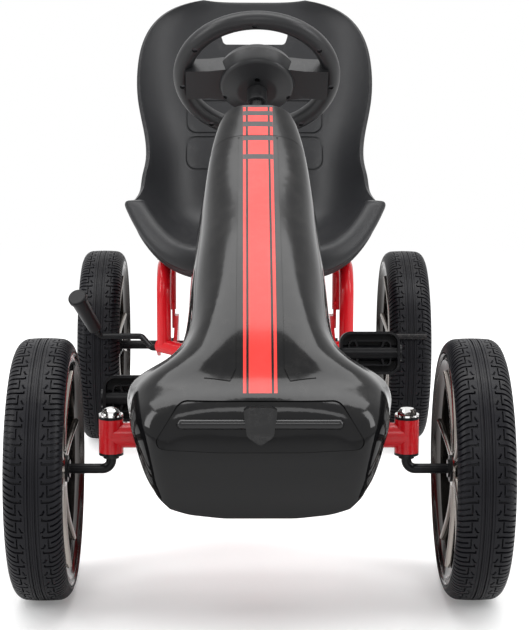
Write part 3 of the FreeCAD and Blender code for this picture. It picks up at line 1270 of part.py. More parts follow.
def seat():
    """The moulded bucket seat with its hand slot, and the straps and bolts that hold it."""
    rows = seat_rows()
    shell = feature("seat_shell_body", thick_shell(rows, S.seat_wall))
    slot_y, slot_z = REAR_Y + S.seat_slot_back, S.seat_rail_height + S.seat_slot_rise
    wide, high = S.seat_slot_width / 2, S.seat_slot_height / 2
    slot = extruded("seat_slot", outline([
        (-wide * 0.86, -high, high * 0.6), (wide * 0.86, -high, high * 0.6), (wide, high, high * 0.8),
        (-wide, high, high * 0.8)]), 120, Placement(Vector(0, slot_y + 60, slot_z), Rotation(X, 90)))
    straps, bolts, holes = [], [], []
    rail_top = S.seat_rail_height + S.seat_leg_radius
    for index, ahead in enumerate((S.seat_strap_front_ahead, S.seat_strap_rear_ahead)):
        y = S.wheelbase - ahead
        straps.append(box(f"seat_strap_{index}", "sizes.seat_leg_x * 2 + sizes.seat_leg_radius * 2",
                          "sizes.seat_strap_width", "sizes.bracket_thickness",
                          at(-S.seat_leg_x - S.seat_leg_radius, y - S.seat_strap_width / 2, rail_top)))
        for side, sign in (("left", 1), ("right", -1)):
            spot = at(sign * S.seat_bolt_x, y, rail_top - S.seat_bolt_radius * 2)
            bolt = cylinder(f"seat_bolt_{index}_{side}", "sizes.seat_bolt_radius", None, spot)
            bolt.Height = S.seat_bolt_length
            head = cylinder(f"seat_bolt_head_{index}_{side}", "sizes.seat_bolt_radius * 2", None,
                            spot)
            head.Height = S.seat_bolt_radius * 2
            bolts.append(join(f"seat_bolt_{index}_{side}", bolt, head))
            hole = cylinder(f"seat_bolt_hole_{index}_{side}", "sizes.seat_bolt_radius + sizes.running_gap",
                            None, spot - Z * 20)
            hole.Height = S.seat_bolt_length + 20.1
            holes.append(hole)
    pads = []
    for index, rise in enumerate((S.pad_upper_rise, S.pad_lower_rise)):
        tall, broad, seam = S.pad_height / 2, S.pad_half_width, S.pad_seam
        rims = [outline([(-broad - grow, -tall - grow, S.pad_corner), (broad + grow, -tall - grow, S.pad_corner),
                         (broad + grow, tall + grow, S.pad_corner), (-broad - grow, tall + grow, S.pad_corner)])
                for grow in (0, -seam)]
        region = feature(f"seat_pad_{index}_outline", ring_face(*rims).extrude(Vector(0, 0, 150)))
        region.Placement = Placement(Vector(0, slot_y + 20, S.seat_rail_height + rise), Rotation(X, 90))
        pads.append(skin_layer(f"seat_pad_{index}", rows, 3, 3 + S.pad_seam_depth, region))
    part("seat_shell", cut("seat_shell", shell, slot, *holes, *pads))
    plates = [cut(f"seat_strap_{index}", strap, *holes[2 * index:2 * index + 2])
              for index, strap in enumerate(straps)]
    group("seat_straps", plates)
    group("seat_bolts", bolts)


# --------------------------------------------------------------------------------------
# Nose and bonnet fairing
# --------------------------------------------------------------------------------------
# Stations from the nose to the dash: distance behind the front axle, then the right half of the
# section from the ridge down to the lower edge as (x, height). The first one frames the nose's face.
FAIRING_STATIONS = [
    (-108, [(0, 223), (36, 223), (78, 219), (101, 208), (109, 186), (104, 152), (92, 125)]),
    (-92, [(0, 234), (32, 233), (80, 228), (110, 215), (120, 191), (113, 160), (102, 135)]),
    (-66, [(0, 262), (26, 261), (62, 251), (98, 238), (121, 216), (120, 182), (111, 152)]),
    (-22, [(0, 302), (24, 301), (52, 287), (73, 259), (101, 238), (125, 220), (126, 190)]),
    (22, [(0, 335), (24, 334), (50, 319), (66, 286), (74, 254), (97, 230), (113, 204)]),
    (62, [(0, 362), (24, 361), (49, 348), (65, 314), (71, 274), (79, 242), (93, 213)]),
    (110, [(0, 393), (23, 392), (47, 381), (61, 350), (69, 307), (73, 262), (78, 218)]),
    (170, [(0, 434), (22, 433), (46, 423), (57, 394), (64, 350), (71, 296), (75, 236)]),
    (236, [(0, 480), (21, 479), (37, 469), (46, 439), (56, 395), (66, 338), (72, 268)]),
]
NOSE_ARCHES = [((44, 70), 0.0), ((57, 84), 0.3), ((68, 98), 0.58), ((79, 112), 0.82)]


# The bowed lower lip of the nose, from its right end to its left end.
NOSE_LIP = [(100, 131, 0), (88, 119, 18), (66, 111, 60), (34, 107, 90), (-34, 107, 90),
            (-66, 111, 60), (-88, 119, 18), (-100, 131, 0)]


# The nose's sunk panel and bare shield, seen from the front, and one crease beside the ridge, from above.
NOSE_PANEL = [(-102, 178, 7), (-40, 174.5, 120), (40, 174.5, 120), (102, 178, 7), (75, 222, 14), (-75, 222, 14)]
NOSE_SHIELD = [(0, -19.5, 4), (12.5, -11, 8), (15.8, 14, 2), (10, 17, 5), (-10, 17, 5), (-15.8, 14, 2),
               (-12.5, -11, 8)]
HOOD_CREASE = [(20.5, 190), (22.5, -78), (28, -88), (52, -83)]


def nose_arch(end, keep):
    """A smaller arch on the slightly crowned face of the nose."""
    outline_points = FAIRING_STATIONS[0][1]
    corner = outline_points[-1]
    count = len(outline_points) - 1
    points = []
    for index, (x, z) in enumerate(outline_points):
        wide = x * end[0] / corner[0] * keep + end[0] * index / count * (1 - keep)
        high = end[1] + (z - corner[1]) * keep
        crown = S.nose_overhang - S.nose_crown * ((high - S.nose_crown_z) / S.nose_crown_reach) ** 2
        points.append(at(wide, -crown, high))
    return points


def fairing_rows():
    """The grid of points over the hood, from the lower edge of the nose back to the dash."""
    halves = [nose_arch(end, keep) for end, keep in NOSE_ARCHES]
    halves += [[at(x, y, z) for x, z in half] for y, half in FAIRING_STATIONS]
    coarse = [[mirrored(point) for point in reversed(half[1:])] + half for half in halves]
    columns = []
    for column in range(len(coarse[0])):
        columns.append(edge_curve([row[column] for row in coarse]).toShape().discretize(Number=30))
    across = [edge_curve([column[index] for column in columns]).toShape() for index in range(30)]
    return [line.discretize(Number=37) for line in across]


def hood_inside():
    """Points along the middle of the hood's inner face, a seating gap inside it."""
    inside = offset_rows(fairing_rows(), S.fairing_wall + S.seat_gap)
    return [row[len(row) // 2] for row in inside]


def fairing():
    """The hood with its sunk nose panel and creases, the crossbar with its bare shield, and the dash cap."""
    rows = fairing_rows()
    skin = feature("nose_fairing_skin", thick_shell(rows, S.fairing_wall))
    below = extruded("nose_lip_cutter", outline([(-100, 40, 0), (100, 40, 0)] + NOSE_LIP), 110,
                     Placement(at(0, -30, 0), Rotation(X, 90)))
    upright = Rotation(X, 90)
    panel_face = extruded("nose_panel_face", outline(NOSE_PANEL), 60, Placement(at(0, -80, 0), upright))
    panel = skin_layer("nose_panel", rows, 2, 2 + S.panel_depth, panel_face)
    creases = []
    for side, sign in (("left", 1), ("right", -1)):
        line = [(x * sign, y) for x, y in HOOD_CREASE]
        for index, (start, end) in enumerate(zip(line, line[1:])):
            run = Vector(end[0] - start[0], end[1] - start[1], 0)
            across = Vector(-run.y, run.x, 0).normalize() * (S.crease_width / 2)
            along = Vector(run).normalize() * (S.crease_width / 2)
            first, last = Vector(start[0], start[1], 0) - along, Vector(end[0], end[1], 0) + along
            corners = [first - across, last - across, last + across, first + across]
            if corners[0].sub(corners[1]).cross(corners[2].sub(corners[1])).z > 0:
                corners.reverse()
            region = extruded(f"crease_{side}_{index}_region",
                              outline([(point.x, point.y, 0) for point in corners]), 400,
                              Placement(at(0, 0, 180), Rotation()))
            creases.append(skin_layer(f"crease_{side}_{index}", rows, 2, 2 + S.crease_depth, region))
    bar = cylinder("nose_bar", "sizes.nose_bar_radius", "sizes.nose_bar_half * 2",
                   at(-S.nose_bar_half, -S.nose_bar_reach, S.nose_bar_z), X)
    tips = []
    for side, sign in (("left", 1), ("right", -1)):
        tip = doc.addObject("Part::Sphere", f"nose_bar_tip_{side}")
        bind(tip, Radius="sizes.nose_bar_radius")
        tip.Placement = Placement(at(sign * S.nose_bar_half, -S.nose_bar_reach, S.nose_bar_z), Rotation())
        tips.append(tip)
    shield = extruded("nose_shield", outline(NOSE_SHIELD), S.shield_height,
                      Placement(at(0, -S.nose_bar_reach + 4, S.nose_bar_z), upright))
    behind_trim = feature("nose_trim_back", thick_shell(offset_rows(rows, S.panel_depth - S.seat_gap), 12))
    trim = join("nose_trim", bar, *tips, shield)
    part("nose_trim", cut("nose_trim", trim, behind_trim))
    hood = cut("hood", skin, below, panel, *creases)
    size = "sizes.wheelbase"
    behind = box("hood_rear_cutter", size, size, size, at(-S.wheelbase / 2, S.dash_cap_y, 0))
    ahead = box("cap_front_cutter", size, size, size,
                at(-S.wheelbase / 2, S.dash_cap_y + S.seam_width - S.wheelbase, 0))
    part("nose_fairing", cut("nose_fairing", hood, behind))
    part("dash_cap", cut("dash_cap", hood, ahead))


# --------------------------------------------------------------------------------------
# Build, check and write
# --------------------------------------------------------------------------------------
def main():
    """Builds every sub-part, checks it and writes its STEP file."""
    main_tube()
    front_axle_beam()
    column_post()
    crank_bracket()
    seat_frame()
    rear_frame()
    bushes()
    all_wheels()
    for side, sign in (("left", 1), ("right", -1)):
        kingpin_axle(side, sign)
        tie_rod(side, sign)
        pedal(f"pedal_{side}", sign)
    kingpin_caps()
    steering_column()
    steering_wheel()
    sprocket("front_sprocket", S.front_teeth, S.chain_x, CRANK, "sizes.crank_radius", S.crank_radius * 2)
    sprocket("rear_sprocket", S.rear_teeth, S.chain_x, at(0, S.wheelbase, AXLE_Z), "sizes.axle_radius",
             S.axle_radius * 1.8)
    drive_chain()
    chain_case()
    crankshaft()
    rear_axle()
    handbrake()
    seat()
    fairing()
    doc.recompute()
    faults = [item.Name for item in doc.Objects if {"Invalid", "Error"} & set(item.State)]
    for item in PARTS:
        if item.Shape.isNull() or not item.Shape.isValid() or not item.Shape.Solids:
            faults.append(f"{item.Label} shape")
    if faults:
        raise RuntimeError("failed: " + ", ".join(faults))
    for item in PARTS:
        item.Shape.exportStep(f"parts/{item.Label}.step")
        print(item.Label, len(item.Shape.Solids), round(item.Shape.Volume))


main()
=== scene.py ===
"""A children's pedal kart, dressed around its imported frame: finishes, treaded tyres and a plain studio."""
import functools
import logging
import math
from dataclasses import dataclass
from enum import Enum
from typing import Callable, Sequence

import bpy
from mathutils import Matrix, Vector


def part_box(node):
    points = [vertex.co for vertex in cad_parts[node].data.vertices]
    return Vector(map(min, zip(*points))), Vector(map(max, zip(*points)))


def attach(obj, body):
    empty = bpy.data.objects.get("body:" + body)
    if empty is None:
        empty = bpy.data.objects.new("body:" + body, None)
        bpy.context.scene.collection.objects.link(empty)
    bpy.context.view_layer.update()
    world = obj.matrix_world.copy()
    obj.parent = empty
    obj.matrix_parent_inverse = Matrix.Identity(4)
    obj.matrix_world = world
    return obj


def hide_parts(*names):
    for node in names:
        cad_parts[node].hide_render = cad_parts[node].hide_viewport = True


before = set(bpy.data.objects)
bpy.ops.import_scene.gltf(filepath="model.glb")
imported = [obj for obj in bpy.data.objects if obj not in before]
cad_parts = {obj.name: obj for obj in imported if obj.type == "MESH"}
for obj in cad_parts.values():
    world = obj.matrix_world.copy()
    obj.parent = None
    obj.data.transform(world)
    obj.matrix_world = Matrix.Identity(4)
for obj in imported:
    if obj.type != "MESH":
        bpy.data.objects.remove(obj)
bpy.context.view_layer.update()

Colour = tuple[float, float, float]
Place = tuple[float, float, float]
Range = tuple[float, float]
Profile = tuple[tuple[float, float], ...]
Socket = bpy.types.NodeSocket
LOG = logging.getLogger("kart")
WHITE = (1.0, 1.0, 1.0, 1.0)
FRONT_AXLE_Y = -0.350


def between(first: float, last: float, share: float) -> float:
    """The value at a share of the way from one number to another."""
    return first + (last - first) * share


class Corner(Enum):
    """The four wheels: the name of each, the body that it rides and its side."""

    FRONT_LEFT = ("front_left", "wheel_front_left", 1)
    FRONT_RIGHT = ("front_right", "wheel_front_right", -1)
    REAR_LEFT = ("rear_left", "rear_axle", 1)
    REAR_RIGHT = ("rear_right", "wheel_rear_right", -1)

    def __init__(self, label: str, body: str, side: int) -> None:
        """Gives the three values their names."""
        self.label, self.body, self.side = label, body, side

    def middle(self) -> Vector:
        """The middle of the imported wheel."""
        low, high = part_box(f"tyre_{self.label}")
        return Vector([(first + last) / 2 for first, last in zip(low, high)])


# ---- Shader helpers ----
class Graph:
    """Places and links the nodes of one shader tree."""

    def __init__(self, tree: bpy.types.NodeTree) -> None:
        """Keeps the tree that the nodes go into."""
        self.tree = tree

    def node(self, kind: str, **settings: object) -> bpy.types.Node:
        """Adds a node.

        Args:
            kind: the node's Blender type.
            **settings: properties of the node to set.

        Returns:
            The new node.
        """
        made = self.tree.nodes.new(kind)
        for name, value in settings.items():
            setattr(made, name, value)
        return made

    def feed(self, socket: Socket, value: object) -> None:
        """Gives an input its value.

        Args:
            socket: the input.
            value: a socket to link to it, or a plain value to set.
        """
        if isinstance(value, bpy.types.NodeSocket):
            self.tree.links.new(value, socket)
        else:
            socket.default_value = value

    def fill(self, node: bpy.types.Node, values: dict[str, object]) -> None:
        """Gives several inputs of a node their values, by name."""
        for name, value in values.items():
            self.feed(node.inputs[name], value)

    def math(self, operation: str, *values: object, clamp: bool = False) -> Socket:
        """A Math node.

        Args:
            operation: the operation's Blender name.
            *values: sockets or numbers for its inputs.
            clamp: whether the result stays between 0 and 1.

        Returns:
            Its result.
        """
        made = self.node("ShaderNodeMath", operation=operation, use_clamp=clamp)
        for socket, value in zip(made.inputs, values):
            self.feed(socket, value)
        return made.outputs[0]

    def span(self, value: Socket, low: float, high: float, start: float = 0.0, end: float = 1.0) -> Socket:
        """Maps a range of a value smoothly to another range.

        Args:
            value: the value.
            low: where its range starts.
            high: where its range ends.
            start: the result at and below the start.
            end: the result at and above the end.

        Returns:
            The mapped value.
        """
        made = self.node("ShaderNodeMapRange", interpolation_type="SMOOTHSTEP")
        self.fill(made, {"Value": value, "From Min": low, "From Max": high, "To Min": start, "To Max": end})
        return made.outputs[0]

    def mix(self, share: Socket, first: object, second: object) -> Socket:
        """Mixes two colours.

        Args:
            share: the share of the second colour.
            first: a colour or a socket that gives one.
            second: a colour or a socket that gives one.

        Returns:
            The mixed colour.
        """
        made = self.node("ShaderNodeMix", data_type="RGBA")
        self.feed(made.inputs[0], share)
        for socket, colour in zip(made.inputs[6:8], (first, second)):
            self.feed(socket, colour if isinstance(colour, bpy.types.NodeSocket) else (*colour, 1.0))
        return made.outputs[2]

    def noise(self, place: Socket, scale: object, detail: float = 3.0, roughness: float = 0.55) -> Socket:
        """A noise value over the surface.

        Args:
            place: the coordinates.
            scale: how many swells a metre holds.
            detail: how many finer layers are added.
            roughness: how strong the finer layers are.

        Returns:
            The value, about 0 to 1.
        """
        made = self.node("ShaderNodeTexNoise")
        self.fill(made, {"Vector": place, "Scale": scale, "Detail": detail, "Roughness": roughness})
        return made.outputs[0]

    def bump(self, height: Socket, depth: float) -> Socket:
        """A normal bent by a height.

        Args:
            height: the height over the surface, 0 to 1.
            depth: how far a height of 1 stands, in metres.

        Returns:
            The bent normal.
        """
        made = self.node("ShaderNodeBump")
        self.fill(made, {"Strength": 1.0, "Distance": depth, "Height": height})
        return made.outputs[0]

    def glow(self, strength: object) -> Socket:
        """Plain white light of a strength."""
        made = self.node("ShaderNodeEmission")
        self.fill(made, {"Color": WHITE, "Strength": strength})
        return made.outputs[0]

    def place(self) -> Socket:
        """The piece's own coordinates, in metres."""
        return self.node("ShaderNodeTexCoord").outputs["Object"]

    def upward(self) -> Socket:
        """How far the surface faces upwards, from -1 to 1."""
        return self.axes(self.node("ShaderNodeNewGeometry").outputs["Normal"])[2]

    def axes(self, vector: Socket) -> tuple[Socket, ...]:
        """The X, Y and Z of a vector."""
        made = self.node("ShaderNodeSeparateXYZ")
        self.feed(made.inputs[0], vector)
        return tuple(made.outputs)

    def group(self, effect: "Effect", **inputs: object) -> bpy.types.Node:
        """Places a shared effect.

        Args:
            effect: which effect.
            **inputs: its named inputs.

        Returns:
            The group's node.
        """
        made = self.node("ShaderNodeGroup", node_tree=EFFECTS.tree(effect))
        self.fill(made, inputs)
        return made


class Effect(Enum):
    """The effects that several finishes share, with the names of their groups."""

    GRAIN = "moulded_grain"
    TONE = "uneven_tone"
    DUST = "settled_dust"
    RUB = "rubbed_edges"


@dataclass(frozen=True)
class Plug:
    """One socket of a shared effect: its name, its default and the kind of value that it takes."""

    name: str
    default: object = 0.0
    kind: str = "NodeSocketFloat"


PLACE = Plug("Place", None, "NodeSocketVector")
COLOUR = Plug("Colour", (0.5, 0.5, 0.5, 1.0), "NodeSocketColor")


class EffectBuilder:
    """Makes the node group of each shared effect, once."""

    def __init__(self) -> None:
        """Starts with no group made."""
        self.made: dict[Effect, bpy.types.NodeTree] = {}

    def tree(self, effect: Effect) -> bpy.types.NodeTree:
        """Gives the group of an effect, making it at its first use.

        Args:
            effect: which effect.

        Returns:
            Its node group.
        """
        if effect not in self.made:
            build: dict[Effect, Callable[[], bpy.types.NodeTree]] = {
                Effect.GRAIN: self.grain, Effect.TONE: self.tone, Effect.DUST: self.dust,
                Effect.RUB: self.rub}
            self.made[effect] = build[effect]()
        return self.made[effect]

    @staticmethod
    def start(effect: Effect, inputs: Sequence[Plug], outputs: Sequence[Plug]) -> tuple[Graph, dict, dict]:
        """Opens a group with its sockets.

        Args:
            effect: which effect.
            inputs: the values that it takes.
            outputs: the values that it gives.

        Returns:
            The group's graph, its inputs by name and its outputs by name.
        """
        tree = bpy.data.node_groups.new(effect.value, "ShaderNodeTree")
        for side, plugs in (("INPUT", inputs), ("OUTPUT", outputs)):
            for plug in plugs:
                socket = tree.interface.new_socket(name=plug.name, in_out=side, socket_type=plug.kind)
                if side == "INPUT" and plug.default is not None:
                    socket.default_value = plug.default
        graph = Graph(tree)
        entry, leave = graph.node("NodeGroupInput"), graph.node("NodeGroupOutput")
        return graph, dict(entry.outputs.items()), dict(leave.inputs.items())

    def grain(self) -> bpy.types.NodeTree:
        """Fine cells of a moulded surface, with the gloss broken up along them."""
        graph, taken, given = self.start(
            Effect.GRAIN, (PLACE, Plug("Size", 900.0), Plug("Roughness", 0.4), Plug("Spread", 0.08)),
            (Plug("Height"), Plug("Roughness")))
        cells = graph.node("ShaderNodeTexVoronoi", feature="SMOOTH_F1")
        graph.fill(cells, {"Vector": taken["Place"], "Scale": taken["Size"]})
        fine = graph.noise(taken["Place"], graph.math("MULTIPLY", taken["Size"], 2.3), detail=2.0)
        broad = graph.noise(taken["Place"], 22.0, detail=4.0)
        height = graph.math("ADD", cells.outputs["Distance"], graph.math("MULTIPLY", fine, 0.5))
        swing, fleck = (graph.math("MULTIPLY", graph.math("SUBTRACT", cloud, 0.5), taken["Spread"])
                        for cloud in (broad, fine))
        rough = graph.math("ADD", graph.math("ADD", taken["Roughness"], swing), fleck, clamp=True)
        graph.feed(given["Height"], height)
        graph.feed(given["Roughness"], rough)
        return graph.tree

    def tone(self) -> bpy.types.NodeTree:
        """A colour that wanders a little lighter and darker over the surface."""
        graph, taken, given = self.start(
            Effect.TONE, (PLACE, COLOUR, Plug("Amount", 0.2), Plug("Size", 9.0)), (COLOUR,))
        cloud = graph.noise(taken["Place"], taken["Size"], detail=5.0, roughness=0.6)
        share = graph.math("MULTIPLY", graph.math("SUBTRACT", cloud, 0.5), taken["Amount"])
        scaled = graph.node("ShaderNodeVectorMath", operation="SCALE")
        graph.fill(scaled, {"Vector": taken["Colour"], "Scale": graph.math("ADD", share, 1.0)})
        graph.feed(given["Colour"], scaled.outputs[0])
        return graph.tree

    def dust(self) -> bpy.types.NodeTree:
        """A thin grey film on what faces upwards."""
        film = Plug("Dust", (0.42, 0.40, 0.37, 1.0), COLOUR.kind)
        graph, taken, given = self.start(Effect.DUST, (PLACE, COLOUR, film, Plug("Amount", 0.05)), (COLOUR,))
        facing = graph.span(graph.upward(), low=0.2, high=1.0)
        patch = graph.span(graph.noise(taken["Place"], 60.0, detail=6.0, roughness=0.65), low=0.42, high=0.7)
        mask = graph.math("MULTIPLY", graph.math("MULTIPLY", facing, patch), taken["Amount"], clamp=True)
        graph.feed(given["Colour"], graph.mix(mask, taken["Colour"], taken["Dust"]))
        return graph.tree

    def rub(self) -> bpy.types.NodeTree:
        """Paler edges where hands and shoes rub."""
        worn = Plug("Worn", (0.6, 0.6, 0.6, 1.0), COLOUR.kind)
        graph, taken, given = self.start(Effect.RUB, (PLACE, COLOUR, worn, Plug("Amount", 0.3)), (COLOUR,))
        edge = graph.node("ShaderNodeNewGeometry").outputs["Pointiness"]
        sharp = graph.span(edge, low=0.515, high=0.58)
        broken = graph.span(graph.noise(taken["Place"], 180.0, detail=5.0, roughness=0.7), low=0.4, high=0.62)
        mask = graph.math("MULTIPLY", graph.math("MULTIPLY", sharp, broken), taken["Amount"], clamp=True)
        graph.feed(given["Colour"], graph.mix(mask, taken["Colour"], taken["Worn"]))
        return graph.tree


EFFECTS = EffectBuilder()


def open_material(name: str) -> tuple[bpy.types.Material, Graph, bpy.types.Node]:
    """Starts a material with one Principled shader.

    Args:
        name: the material's name.

    Returns:
        The material, its graph and the shader node.
    """
    material = bpy.data.materials.new(name)
    material.use_nodes = True
    return material, Graph(material.node_tree), material.node_tree.nodes["Principled BSDF"]


# ---- Finishes ----
@dataclass(frozen=True)
class Coating:
    """An uneven colour with rubbed edges and dust, on a surface that its grain or a ripple breaks up."""

    name: str
    colour: Colour
    roughness: float
    tone: float = 0.25
    tone_size: float = 9.0
    rub: float = 0.25
    worn: Colour = (0.09, 0.09, 0.09)
    dust: float = 0.05
    spread: float = 0.10
    grain_size: float = 900.0
    specular: float = 0.5
    coat: float = 0.0
    coat_roughness: float = 0.05
    ripple_size: float = 0.0
    relief_depth: float = 0.00006

    def build(self) -> bpy.types.Material:
        """Makes the material."""
        material, graph, shader = open_material(self.name)
        place = graph.place()
        tone = graph.group(Effect.TONE, Place=place, Colour=(*self.colour, 1.0), Amount=self.tone,
                           Size=self.tone_size)
        rub = graph.group(Effect.RUB, Place=place, Colour=tone.outputs["Colour"], Worn=(*self.worn, 1.0),
                          Amount=self.rub)
        dust = graph.group(Effect.DUST, Place=place, Colour=rub.outputs["Colour"], Amount=self.dust)
        grain = graph.group(Effect.GRAIN, Place=place, Size=self.grain_size, Roughness=self.roughness,
                            Spread=self.spread)
        height = grain.outputs["Height"]
        if self.ripple_size:
            height = graph.noise(place, self.ripple_size, detail=2.0)
        graph.fill(shader, {
            "Base Color": dust.outputs["Colour"], "Roughness": grain.outputs["Roughness"],
            "Normal": graph.bump(height, self.relief_depth), "Specular IOR Level": self.specular,
            "Coat Weight": self.coat, "Coat Roughness": self.coat_roughness})
        return material


@dataclass(frozen=True)
class Moulding(Coating):
    """A coloured plastic or foam moulding with a fine grain."""


@dataclass(frozen=True)
class Paint(Coating):
    """Powder coat on steel: an even colour under a slightly rippled gloss."""

    tone: float = 0.16
    tone_size: float = 24.0
    rub: float = 0.12
    worn: Colour = (0.45, 0.40, 0.38)
    dust: float = 0.04
    spread: float = 0.05
    grain_size: float = 700.0
    coat_roughness: float = 0.08
    ripple_size: float = 160.0
    relief_depth: float = 0.00008


@dataclass(frozen=True)
class Plating:
    """Bright plated or bare steel with fine drawn lines."""

    name: str
    colour: Colour
    roughness: float
    spread: float = 0.12
    grain_size: float = 1400.0
    tone: float = 0.22
    tone_size: float = 70.0
    line_size: float = 420.0
    line_depth: float = 0.00002

    def build(self) -> bpy.types.Material:
        """Makes the material."""
        material, graph, shader = open_material(self.name)
        place = graph.place()
        tone = graph.group(Effect.TONE, Place=place, Colour=(*self.colour, 1.0), Amount=self.tone,
                           Size=self.tone_size)
        grain = graph.group(Effect.GRAIN, Place=place, Size=self.grain_size, Roughness=self.roughness,
                            Spread=self.spread)
        lines = graph.noise(place, self.line_size, detail=5.0, roughness=0.7)
        graph.fill(shader, {"Base Color": tone.outputs["Colour"], "Roughness": grain.outputs["Roughness"],
                            "Normal": graph.bump(lines, self.line_depth), "Metallic": 1.0})
        return material


@dataclass(frozen=True)
class HoodGloss:
    """High-gloss black with a red racing stripe along the ridge, crossed by dark bands at the dash."""

    name: str = "hood_gloss"
    black: Colour = (0.0040, 0.0040, 0.0044)
    red: Colour = (0.84, 0.045, 0.038)
    band: Colour = (0.035, 0.036, 0.038)
    half_width: float = 0.0160
    inner_line: float = 0.0107
    outer_line: float = 0.0131
    front_end: float = -0.102
    stripe_facing: Range = (0.05, 0.12)
    soft: float = 0.00025
    bands: tuple[Range, ...] = ((0.1595, 0.1665), (0.1855, 0.1925), (0.2050, 0.2125), (0.2210, 0.2275),
                                (0.2330, 0.2372))
    tone: float = 0.3
    dust: float = 0.02
    grain_size: float = 500.0
    roughness: float = 0.07
    spread: float = 0.03
    stripe_haze: float = 0.10
    upper_haze: float = 0.06
    haze_facing: Range = (0.15, 0.5)
    swell_size: float = 3.0
    swell_depth: float = 0.00005
    specular: float = 0.22
    coat: float = 0.05
    coat_roughness: float = 0.03

    def above(self, graph: Graph, value: Socket, limit: float) -> Socket:
        """One above a limit and nought below it."""
        return graph.span(value, limit - self.soft, limit + self.soft)

    def window(self, graph: Graph, value: Socket, low: float, high: float) -> Socket:
        """One between two limits and nought outside them."""
        beyond = graph.math("SUBTRACT", 1.0, self.above(graph, value, high))
        return graph.math("MULTIPLY", self.above(graph, value, low), beyond)

    def paint(self, graph: Graph, place: Socket, upward: Socket) -> tuple[Socket, Socket]:
        """Lays the stripe over the black.

        Args:
            graph: the material's graph.
            place: the coordinates.
            upward: how far the surface faces upwards.

        Returns:
            The colour and a mask of the stripe.
        """
        across, along, _ = graph.axes(place)
        side = graph.math("ABSOLUTE", across)
        stripe = graph.math("SUBTRACT", 1.0, self.above(graph, side, self.half_width))
        for limit in (self.above(graph, along, FRONT_AXLE_Y + self.front_end + self.soft),
                      graph.span(upward, *self.stripe_facing)):
            stripe = graph.math("MULTIPLY", stripe, limit)
        lines = self.window(graph, side, self.inner_line, self.outer_line)
        red = graph.math("MULTIPLY", stripe, graph.math("SUBTRACT", 1.0, lines))
        bands = [self.window(graph, along, FRONT_AXLE_Y + start, FRONT_AXLE_Y + end)
                 for start, end in self.bands]
        crossing = functools.reduce(functools.partial(graph.math, "MAXIMUM"), bands)
        black = graph.group(Effect.TONE, Place=place, Colour=(*self.black, 1.0), Amount=self.tone)
        colour = graph.mix(red, black.outputs["Colour"], self.red)
        return graph.mix(graph.math("MULTIPLY", stripe, crossing), colour, self.band), stripe

    def build(self) -> bpy.types.Material:
        """Makes the material."""
        material, graph, shader = open_material(self.name)
        place = graph.place()
        upward = graph.upward()
        colour, stripe = self.paint(graph, place, upward)
        dust = graph.group(Effect.DUST, Place=place, Colour=colour, Amount=self.dust)
        grain = graph.group(Effect.GRAIN, Place=place, Size=self.grain_size, Roughness=self.roughness,
                            Spread=self.spread)
        haze = graph.math("ADD", graph.math("MULTIPLY", stripe, self.stripe_haze),
                          graph.span(upward, *self.haze_facing, end=self.upper_haze))
        swell = graph.noise(place, self.swell_size, detail=1.0)
        graph.fill(shader, {
            "Base Color": dust.outputs["Colour"], "Normal": graph.bump(swell, self.swell_depth),
            "Roughness": graph.math("ADD", grain.outputs["Roughness"], haze), "Specular IOR Level": self.specular,
            "Coat Weight": self.coat, "Coat Roughness": self.coat_roughness})
        return material


class Finish(Enum):
    """Every finish of the kart."""

    HOOD = HoodGloss()
    SEAT = Moulding("seat_moulding", (0.0090, 0.0093, 0.0108), 0.40, spread=0.08, grain_size=1100.0,
                    relief_depth=0.00009, dust=0.02, rub=0.12, specular=0.3)
    STEERING = Moulding("steering_moulding", (0.0105, 0.0107, 0.0118), 0.36, grain_size=1500.0,
                        relief_depth=0.00004, dust=0.02, rub=0.15, specular=0.32)
    FITTING = Moulding("fitting_moulding", (0.005, 0.005, 0.006), 0.34, dust=0.01, rub=0.08, specular=0.16)
    TRIM = Moulding("trim_moulding", (0.005, 0.005, 0.0055), 0.16, spread=0.04, relief_depth=0.00001,
                    tone=0.2, dust=0.01, rub=0.10, specular=0.35)
    FOAM = Moulding("tyre_foam", (0.0048, 0.0048, 0.0068), 0.42, grain_size=1700.0, relief_depth=0.00005,
                    tone=0.35, dust=0.03, worn=(0.04, 0.04, 0.042), rub=0.10, specular=0.16)
    BARREL = Plating("rim_barrel", (0.060, 0.056, 0.054), 0.16, spread=0.05, line_depth=0.000006)
    SPOKES = Plating("rim_spokes", (0.27, 0.245, 0.225), 0.13, spread=0.05, line_depth=0.000006)
    FRAME = Paint("frame_paint", (0.56, 0.006, 0.012), 0.20, relief_depth=0.00001, rub=0.04, dust=0.01,
                  specular=0.25, coat=0.05)
    BLACK_STEEL = Paint("black_steel_paint", (0.005, 0.005, 0.006), 0.26, relief_depth=0.00002, rub=0.04,
                        dust=0.01, specular=0.16)
    ZINC = Plating("zinc_plate", (0.66, 0.66, 0.68), 0.27)
    CHROME = Plating("polished_cap", (0.82, 0.81, 0.80), 0.10, spread=0.05)
    SCREW = Plating("dark_screw", (0.08, 0.08, 0.085), 0.35)

    @functools.cache
    def material(self) -> bpy.types.Material:
        """The finish's material, made at its first use."""
        return self.value.build()


